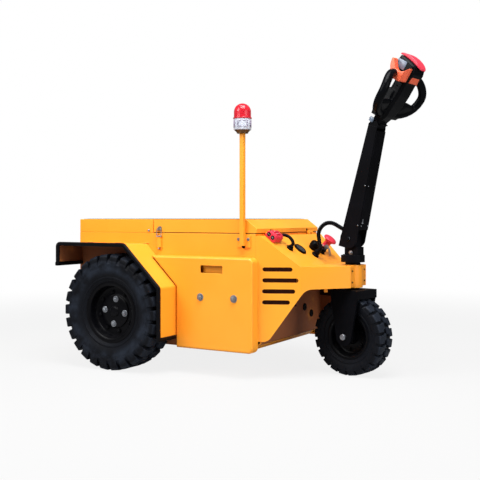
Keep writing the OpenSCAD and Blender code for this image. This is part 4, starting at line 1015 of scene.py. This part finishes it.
def makeBeacon():
    place = moved(machine["mastX"], machine["mastY"], machine["mastTop"])
    base = spun([(30.2, 13), (32.2, 13), (33.4, 15), (33.5, 53), (33.0, 55), (29.8, 55), (29.8, 15)], 72,
                place, closed=True)
    addPiece("beaconBase", base, "lens_clear", "chassis", ["beacon_base"])
    foot = spun([(0, 0.3), (21, 0.3), (22, 1), (22, 4), (30, 12), (31.4, 13.6), (31.4, 15), (29, 16),
                 (0, 16)], 56, place)
    # the foot's brown is a painted reflection of the orange mast
    addPiece("beaconFoot", foot, "machine_grey", "chassis", finish="mastReflectionBrown")
    frames = []
    for k in range(4):
        turn = place @ rotated(90 * k + 30, "Z")
        frames += [block(low, high, turn, bevel=0.5) for low, high in beacon["frames"]]
    addPiece("beaconFrames", joined(frames), "lens_clear", "chassis", finish="windowGrey")
    reflector = spun([(0, 20.6), (24, 20.6), (24, 50), (22, 53), (0, 53)], 8, place)
    addPiece("beaconReflector", reflector, "zinc", "chassis")
    above = place @ moved(0, 0, beacon["lensFoot"])
    outer, inner = beacon["domeRadius"]
    rim = [(30, 0.3), (34.9, 0.3), (35.5, 0.9), (35.5, 4.6), (34.9, 5.2), (32.7, 5.4), (32.5, 7)]
    wall = rim + domeArc(outer, range(0, 91, 6)) + domeArc(inner, range(90, -1, -6)) + [(30, 7)]
    lens = spun(wall, 64, above, closed=True)
    addPiece("beaconLens", lens, "lens_red", "chassis", ["beacon_lens"], sharp=50)
    lamp = [(0, 1), (20, 1)]
    for k in range(beacon["lampRings"]):  # stacked rings of the lamp's lens
        lamp += [(20.5, 2 + 4 * k), (18.6, 4.6 + 4 * k)]
    lamp += [(17, 40), (0, 41)]
    addPiece("beaconLamp", spun(lamp, 40, above), "lens_red", "chassis", sharp=20, finish="lampRed")


makeBeacon()
print("beacon made")

# Latches: over-centre lever and wire loop at each side, keeper on the lid
latch = {"x": -0.253, "wire": 1.6,
         "loop": [(-10.6, -7.4, 531), (-10.6, -7.4, 548), (-10.2, -7.6, 559), (-8, -7.8, 563.5),
                  (-4, -7.8, 565), (4, -7.8, 565), (8, -7.8, 563.5), (10.2, -7.6, 559), (10.6, -7.4, 548),
                  (10.6, -7.4, 531)]}


def makeLatches():
    straps, levers, loops = [], [], []
    for side in (1, -1):
        turn = moved(latch["x"], side * machine["halfWidth"], 0) @ rotated(0 if side < 0 else 180, "Z")
        strap = [(-11, 480), (11, 480), (13, 484), (13, 536), (10, 539), (-10, 539), (-13, 536), (-13, 484)]
        straps.append(prism(strap, -2.2, -0.3, turn))
        channel = [(-9, 0), (-9, -8.4), (-7.2, -10), (7.2, -10), (9, -8.4), (9, 0), (7.4, 0), (7.4, -7.8),
                   (6.4, -8.6), (-6.4, -8.6), (-7.4, -7.8), (-7.4, 0)]
        straps.append(prism(channel, 490, 530, turn, "z"))
        levers.append(tube([turn @ (Vector((x, -7.4, 534)) * mm) for x in (-12.5, 0, 12.5)], 3.0 * mm, 14))
        levers.append(spun([(0, 0), (4.6, 0), (4.8, 4), (3.8, 7.6), (1.6, 9), (0, 9.2)], 20,
                           turn @ moved(0, -0.0022, 0.4845) @ upright))
        wire = [Vector(p) * mm for p in latch["loop"]]
        loops += [tube([turn @ p for p in smoothRoute(wire, 4)], latch["wire"] * mm, 12),
                  prism([(-9, 557), (9, 557), (9, 570), (6, 574), (-6, 574), (-9, 570)], -2.4, -0.3, turn),
                  prism([(-0.3, 560), (-9.6, 560), (-10.6, 569), (-8.6, 569), (-7.8, 563), (-0.3, 563)],
                        -6, 6, turn @ rotated(90, "Z"))]
    addPiece("latchLevers", joined(straps), "zinc", "chassis", ["latch_levers"], sharp=30,
             finish="body_paint")
    addPiece("latchPins", joined(levers), "zinc", "chassis", sharp=40)
    addPiece("latchLoops", joined(loops), "zinc", "lid", ["latch_loops"], sharp=30)


makeLatches()
print("latches made")


# Mouldings of the control head: the solids' shapes with their joints and edges flowed together
headWeb = {"thick": (-22, 24), "outline": [
    (-44, 42), (76, 44), (92, 60), (66, 92), (52, 122), (46, 156), (-46, 156), (-48, 122), (-52, 92),
    (-48, 60)]}
webTurn = rotated(90, "Z")
moulded = {
    "controlHead": ("control_head", "black_plastic", 2.2, 12, None, headWeb),
    "throttleWings": ("throttle_wings", "orange_plastic", 1.3, 9, (52, 30)),
    "bellyButton": ("belly_button", "red_plastic", 1.4, 12),
}


def mould(name, node, slot, voxel, passes, reach=None, web=None):
    bm = bmesh.new()
    bm.from_mesh(frame["nodes"][node].data)
    bmesh.ops.remove_doubles(bm, verts=bm.verts, dist=1e-5)
    holder = asObject(bm, node)
    if reach:  # how far forward the right and the left wing come
        bm = bmesh.new()
        bm.from_mesh(holder.data)
        back = headFrame.inverted()
        for side, far in zip((-1, 1), reach):
            parts = [f for f in bm.faces if (back @ f.calc_center_median()).y * side > 0]
            geom = [*{v for f in parts for v in f.verts}, *{e for f in parts for e in f.edges}, *parts]
            cut = bmesh.ops.bisect_plane(bm, geom=geom, plane_co=headFrame @ Vector((far * mm, 0, 0)),
                                         plane_no=headFrame.to_3x3() @ Vector((1, 0, 0)), clear_outer=True)
            bmesh.ops.holes_fill(bm, edges=[e for e in cut["geom_cut"] if isinstance(e, bmesh.types.BMEdge)])
        bm.to_mesh(holder.data)
        bm.free()
    if web:  # the head's wide lower part, flowed into the grips
        mesh = holder.data
        bm = joined([mesh.copy(), prism([(y, z) for y, z in web["outline"]], *web["thick"],
                                        headFrame @ webTurn)])
        bm.to_mesh(mesh)
        bm.free()
    even = holder.modifiers.new("even", "REMESH")
    even.mode, even.voxel_size = "VOXEL", voxel * mm
    soft = holder.modifiers.new("soft", "SMOOTH")
    soft.factor, soft.iterations = 0.5, passes
    addPiece(name, settled(holder), slot, "tiller", [node], sharp=75)


for name, spec in moulded.items():
    mould(name, *spec)


# Small parts of the head: side panels, a key block on its front and screws
headParts = {"panel": (-24, 16, 236, 268), "panelSide": (43.2, 45.0), "key": (29, 203, 238),
             "keyAhead": (42, 55), "screws": [(16, 128), (22, 178)], "screwSide": 43.6, "screwSize": 7}


def makeHeadParts():
    n0, n1, v0, v1 = headParts["panel"]
    u0, u1 = headParts["panelSide"]
    panels = [block((n0, side * u0, v0), (n1, side * u1, v1), headFrame, bevel=0.8) for side in (1, -1)]
    # the side panels are coloured blue-grey, painted sheen where the black plastic catches light
    addPiece("headPanels", joined(panels), "black_plastic", "tiller", finish="sheenGrey")
    half, v0, v1 = headParts["key"]
    n0, n1 = headParts["keyAhead"]
    addPiece("headKey", block((n0, -half, v0), (n1, half, v1), headFrame, bevel=3.0), "orange_plastic",
             "tiller")
    marks = []
    for n, v in headParts["screws"]:
        for side in (1, -1):
            spot = Vector((n, side * headParts["screwSide"], v)) * mm
            marks.append((headFrame @ spot, headFrame.to_3x3() @ Vector((0, side, 0))))
    fasten("headScrews", "round", headParts["screwSize"] * mm, marks, "tiller", "black_plastic")


makeHeadParts()
print("control head made")

# Bolts, nuts and screws by body: places in metres, heads' sizes in millimetres
coverBolts = {"x": (-0.030, 0.120), "z": 0.303, "y": 0.3203, "size": 17}
mastBolts = {"x": (0.118, 0.160), "z": 0.527, "y": -0.2801, "size": 7.5}
couplingBolts = {"behind": 0.0103, "y": 0.050, "z": 0.055, "size": 16}
sideScrews = {"y": 0.2751, "rearCover": (-0.308, 0.557), "rearCoverSize": 11, "panel": (-0.303, 0.480),
              "panelSize": 7}
noseScrews = {"x": 0.4931, "y": 0.062, "z": (0.362, 0.405)}
hingeScrews = {"x": 0.1941, "y": 0.163, "z": 0.559, "size": 9}
armScrews = {"heights": (0.060, 0.215), "across": 0.024, "front": (0.0375, 0.023), "proud": 0.0033,
             "inset": 0.006, "size": 5.0}
pivotBolt = {"proud": 0.0002, "size": 15}
blockBolts = {"x": 0.004, "y": 0.022, "z": 0.474, "size": 10}
collarScrews = {"count": 4, "ring": 0.036, "z": 0.464, "size": 9}
ahead, behind, up = Vector((1, 0, 0)), Vector((-1, 0, 0)), Vector((0, 0, 1))
bothSides = ((1, left), (-1, right))


def chassisFasteners():
    y, z = coverBolts["y"], coverBolts["z"]
    covers = [(Vector((x, side * y, z)), facing) for x in coverBolts["x"] for side, facing in bothSides]
    fasten("coverBolts", "hex", coverBolts["size"] * mm, covers, "chassis")
    mast = [(Vector((x, mastBolts["y"], mastBolts["z"])), right) for x in mastBolts["x"]]
    fasten("mastBolts", "hex", mastBolts["size"] * mm, mast, "chassis")
    rear, y, z = machine["rearX"] - couplingBolts["behind"], couplingBolts["y"], couplingBolts["z"]
    coupling = [(Vector((rear, across, machine["hitchZ"] + height)), behind) for across in (-y, y)
                for height in (-z, z)]
    fasten("couplingBolts", "hex", couplingBolts["size"] * mm, coupling, "chassis")
    (x, z), y = sideScrews["rearCover"], sideScrews["y"]
    sides = [(Vector((x, side * y, z)), facing) for side, facing in bothSides]
    fasten("rearCoverScrews", "round", sideScrews["rearCoverSize"] * mm, sides, "chassis")
    x, z = sideScrews["panel"]
    small = [(Vector((x, side * y, z)), facing) for side, facing in bothSides]
    small += [(Vector((noseScrews["x"], side * noseScrews["y"], z)), ahead) for z in noseScrews["z"]
              for side in (1, -1)]
    fasten("panelScrews", "round", sideScrews["panelSize"] * mm, small, "chassis", "black_plastic")
    hinges = [(Vector((hingeScrews["x"], side * hingeScrews["y"], hingeScrews["z"])), ahead)
              for side in (1, -1)]
    fasten("hingeScrews", "round", hingeScrews["size"] * mm, hinges, "lid", "black_plastic")


def steeredFasteners():
    turn = armFrame.to_3x3()
    half = machine["armWidth"] / 2
    pivot = [(armFrame @ Vector((0, side * (half + pivotBolt["proud"]), 0)), turn @ facing)
             for side, facing in bothSides]
    fasten("tillerBolts", "round", pivotBolt["size"] * mm, pivot, "tiller")
    foot, top = armScrews["front"]
    lean = (foot - top) / machine["armLength"]
    cover = []
    for v in armScrews["heights"]:
        front = foot - lean * v
        for u in (-armScrews["across"], armScrews["across"]):
            cover.append((armFrame @ Vector((front + armScrews["proud"], u, v)), turn @ Vector((1, 0, lean))))
        for side, facing in bothSides:
            cover.append((armFrame @ Vector((front - armScrews["inset"], side * half, v)), turn @ facing))
    fasten("armScrews", "round", armScrews["size"] * mm, cover, "tiller")
    steer = steerFrame.to_3x3()
    x, y, z = blockBolts["x"], blockBolts["y"], blockBolts["z"]
    blocks = [(steerFrame @ Vector((x, side * y, z)), steer @ facing) for side, facing in bothSides]
    fasten("blockBolts", "hex", blockBolts["size"] * mm, blocks, "steering")
    collar = []
    for k in range(collarScrews["count"]):
        t = math.radians(45 + 360 * k / collarScrews["count"])
        spot = Vector((collarScrews["ring"] * math.cos(t), collarScrews["ring"] * math.sin(t),
                       collarScrews["z"]))
        collar.append((steerFrame @ spot, up))
    fasten("collarScrews", "round", collarScrews["size"] * mm, collar, "steering", "black_paint")


chassisFasteners()
steeredFasteners()


# Painted shade: dark sheets behind the vents so their slots show dark; beads of weld on the fenders, rubber
# along the flap's foot, floors of the hand slots and the upstand under the lid's lip
ventShadeSheet = {"from": (0.2046, -0.2677), "along": (0.907, 0.421), "span": (8, 137), "heights": (276, 437),
         "thick": 2}
welds = {"x": (-0.617, -0.466, -0.319), "z": 0.5062, "y": 0.2768, "long": 30, "radius": 2.6}
flapRubber = {"x": -664, "half": 8, "z": (411, 427), "y": (277, 433.5)}
slotFloor = {"x": (-29.3, 69.3), "y": (276, 301), "z": (396.3, 425.7)}
ledge = {"x": (186.5, 190.5), "half": 268, "z": (539.5, 547.6)}


def weldSize(share):  # thick in the middle, thin at its ends
    return welds["radius"] * mm * (0.35 + 0.65 * math.sin(math.pi * share) ** 0.5)


# The same box on both sides of the machine
def paired(xs, ys, zs, bevel=0.0):
    (x0, x1), (y0, y1), (z0, z1) = xs, ys, zs
    return joined([block((x0, side * y0, z0), (x1, side * y1, z1), bevel=bevel) for side in (1, -1)])


def makeLining():
    ventShadeSheets, beads = [], []
    (x, y), along = ventShadeSheet["from"], math.atan2(ventShadeSheet["along"][1], ventShadeSheet["along"][0])
    (x0, x1), (z0, z1) = ventShadeSheet["span"], ventShadeSheet["heights"]
    for side in (1, -1):
        place = Matrix.Scale(side, 4, Vector((0, 1, 0))) @ moved(x, y, 0) @ Matrix.Rotation(along, 4, "Z")
        # a dark sheet of painted shade behind this side's vents
        back = block((x0, 0, z0), (x1, ventShadeSheet["thick"], z1), place)
        bmesh.ops.recalc_face_normals(back, faces=back.faces)
        ventShadeSheets.append(back)
        for weldX in welds["x"]:
            middle = Vector((weldX, side * welds["y"], welds["z"]))
            run = [middle + Vector(((k / 8 - 0.5) * welds["long"] * mm, 0, 0)) for k in range(9)]
            beads.append(tube(run, weldSize, 12))
    addPiece("ventLiners", joined(ventShadeSheets), "black_paint", "chassis", finish="ventShade")
    addPiece("fenderWelds", joined(beads), "body_paint", "chassis", sharp=60)
    x, half = flapRubber["x"], flapRubber["half"]
    strips = paired((x - half, x + half), flapRubber["y"], flapRubber["z"], bevel=3.4)
    addPiece("flapRubber", strips, "edging_rubber", "chassis")
    addPiece("slotFloors", paired(slotFloor["x"], slotFloor["y"], slotFloor["z"]), "body_paint", "chassis")
    (x0, x1), (z0, z1), half = ledge["x"], ledge["z"], ledge["half"]
    addPiece("ledgeStrip", block((x0, -half, z0), (x1, half, z1), bevel=0.5), "body_paint", "chassis")


makeLining()


# Rubber grommets in the bulkhead and under the mast, axle ends, two clips and the arm's top
grommet = {"ring": [(2.6, -1.5), (8.4, -1.5), (9, -0.6), (9, 1.6), (8.2, 2.4), (4.6, 3.0), (2.6, 2.2)],
           "core": [(0, -1), (3, -1), (3, 0.4), (0, 0.4)],
           "bulkheadX": 0.2102, "bulkhead": ((0.109, 0.237), (0.1735, 0.205)), "size": 1.7,
           "mastY": -0.2801, "mastZ": 0.5000, "mastSize": 0.82}
axleEnd = {"out": 0.075, "outline": [(0, -6.8), (11.6, -6.8), (11.6, 0.2), (10.4, 1.3), (6, 1.8), (0, 1.8)]}
clips = {"arm": (0.0375, -0.020, 0.078), "ring": (0.0400, -0.020, 0.072),
         "ringOutline": [(2.4, -1.2), (4.6, -1.2), (5, 0), (4.6, 1.2), (2.4, 1.2), (2, 0)]}
armTop = {"outline": [(-19, 436), (21, 436), (25, 448), (14, 462), (-12, 458), (-19, 448)], "half": 29}


def makeTrim():
    grommets = []
    for y, z in grommet["bulkhead"]:
        place = moved(grommet["bulkheadX"], y, z) @ rotated(90, "Y") @ Matrix.Scale(grommet["size"], 4)
        grommets += [spun(grommet["ring"], 32, place, closed=True), spun(grommet["core"], 24, place)]
    mast = moved(machine["mastX"], grommet["mastY"], grommet["mastZ"]) @ upright
    mast = mast @ Matrix.Scale(grommet["mastSize"], 4)
    grommets += [spun(grommet["ring"], 24, mast, closed=True), spun(grommet["core"], 16, mast)]
    addPiece("grommets", joined(grommets), "edging_rubber", "chassis")
    caps = [spun(axleEnd["outline"], 40, wheelPlaces["front"] @ rotated(turn, "X")
                 @ moved(0, 0, axleEnd["out"])) for turn in (0, 180)]
    addPiece("axleEnds", joined(caps), "zinc", "steering")
    clip = [block((-2, -3, -9), (2.2, 3, 9), armFrame @ moved(*clips["arm"]), bevel=0.6),
            spun(clips["ringOutline"], 20, armFrame @ moved(*clips["ring"]), closed=True)]
    addPiece("armClip", joined(clip), "zinc", "tiller")
    top = prism(armTop["outline"], -armTop["half"], armTop["half"], armFrame)
    addPiece("armTop", top, "black_paint", "tiller")
    # painted sheen: a blue-grey block where the neck's black flange catches light, on the near side only
    neck = block((-24, -34.5, 12), (-6, -29, 30), headFrame, bevel=1.2)
    addPiece("neckClip", neck, "black_plastic", "tiller", finish="sheenGrey")


makeTrim()
print("fasteners and trim made")

# Studio: pale floor that keeps the shadow, white backdrop, soft lamps
studio = {"floorSide": 60, "floorGlow": (0.84, 1.0), "fadeFrom": 1.4, "fadeTo": 4.0, "floorTone": 0.40,
          "world": 0.20,
          "lamps": {"key": ((-1.3, -2.8, 2.5), 1.8, 92), "top": ((0.7, -0.9, 2.9), 1.6, 118),
                    "fill": ((3.9, -1.0, 1.3), 2.2, 50)}}


def makeStudio():
    half = studio["floorSide"] / 2
    bm = bmesh.new()
    bmesh.ops.create_grid(bm, x_segments=1, y_segments=1, size=half)
    floor = asObject(bm, "floor")
    made, sheet = shaderSheet("floor")
    plain = sheet.node("ShaderNodeBsdfDiffuse", {}, {"Color": rgba([studio["floorTone"]] * 3)})
    glow = sheet.node("ShaderNodeEmission", {}, {"Color": (1, 1, 1, 1), "Strength": 1.0})
    away = sheet.node("ShaderNodeVectorMath", {"operation": "LENGTH"},
                      {0: sheet.node("ShaderNodeTexCoord").out("Object")}, "Value")
    near, far = studio["floorGlow"]
    glowShare = near + (far - near) * sheet.between(away, studio["fadeFrom"], studio["fadeTo"])
    share = sheet.node("ShaderNodeLightPath").out("Is Camera Ray") * glowShare
    mixed = sheet.node("ShaderNodeMixShader", {}, {0: share, 1: plain, 2: glow})
    sheet.node("ShaderNodeOutputMaterial", {}, {"Surface": mixed})
    floor.data.materials.append(made)
    world = bpy.data.worlds.new("studio")
    world.use_nodes = True
    world.node_tree.nodes.clear()
    sheet = Sheet(world.node_tree)
    path = sheet.node("ShaderNodeLightPath")
    seen = sheet.maths("MAXIMUM", path.out("Is Camera Ray"), path.out("Is Transmission Ray"))
    strength = studio["world"] + (1.0 - studio["world"]) * seen
    backdrop = sheet.node("ShaderNodeBackground", {}, {"Color": (1, 1, 1, 1), "Strength": strength})
    sheet.node("ShaderNodeOutputWorld", {}, {"Surface": backdrop})
    scene.world = world
    for name, (place, size, power) in studio["lamps"].items():
        data = bpy.data.lights.new(name, "AREA")
        data.shape, data.size, data.energy = "SQUARE", size, power
        lamp = bpy.data.objects.new(name, data)
        lamp.location = place
        lamp.rotation_euler = (Vector((0, 0, 0.4)) - Vector(place)).to_track_quat("-Z", "Y").to_euler()
        scene.collection.objects.link(lamp)


makeStudio()
discard(*fastenerParts.values())
scene.view_settings.view_transform = "Standard"
print("studio lit")
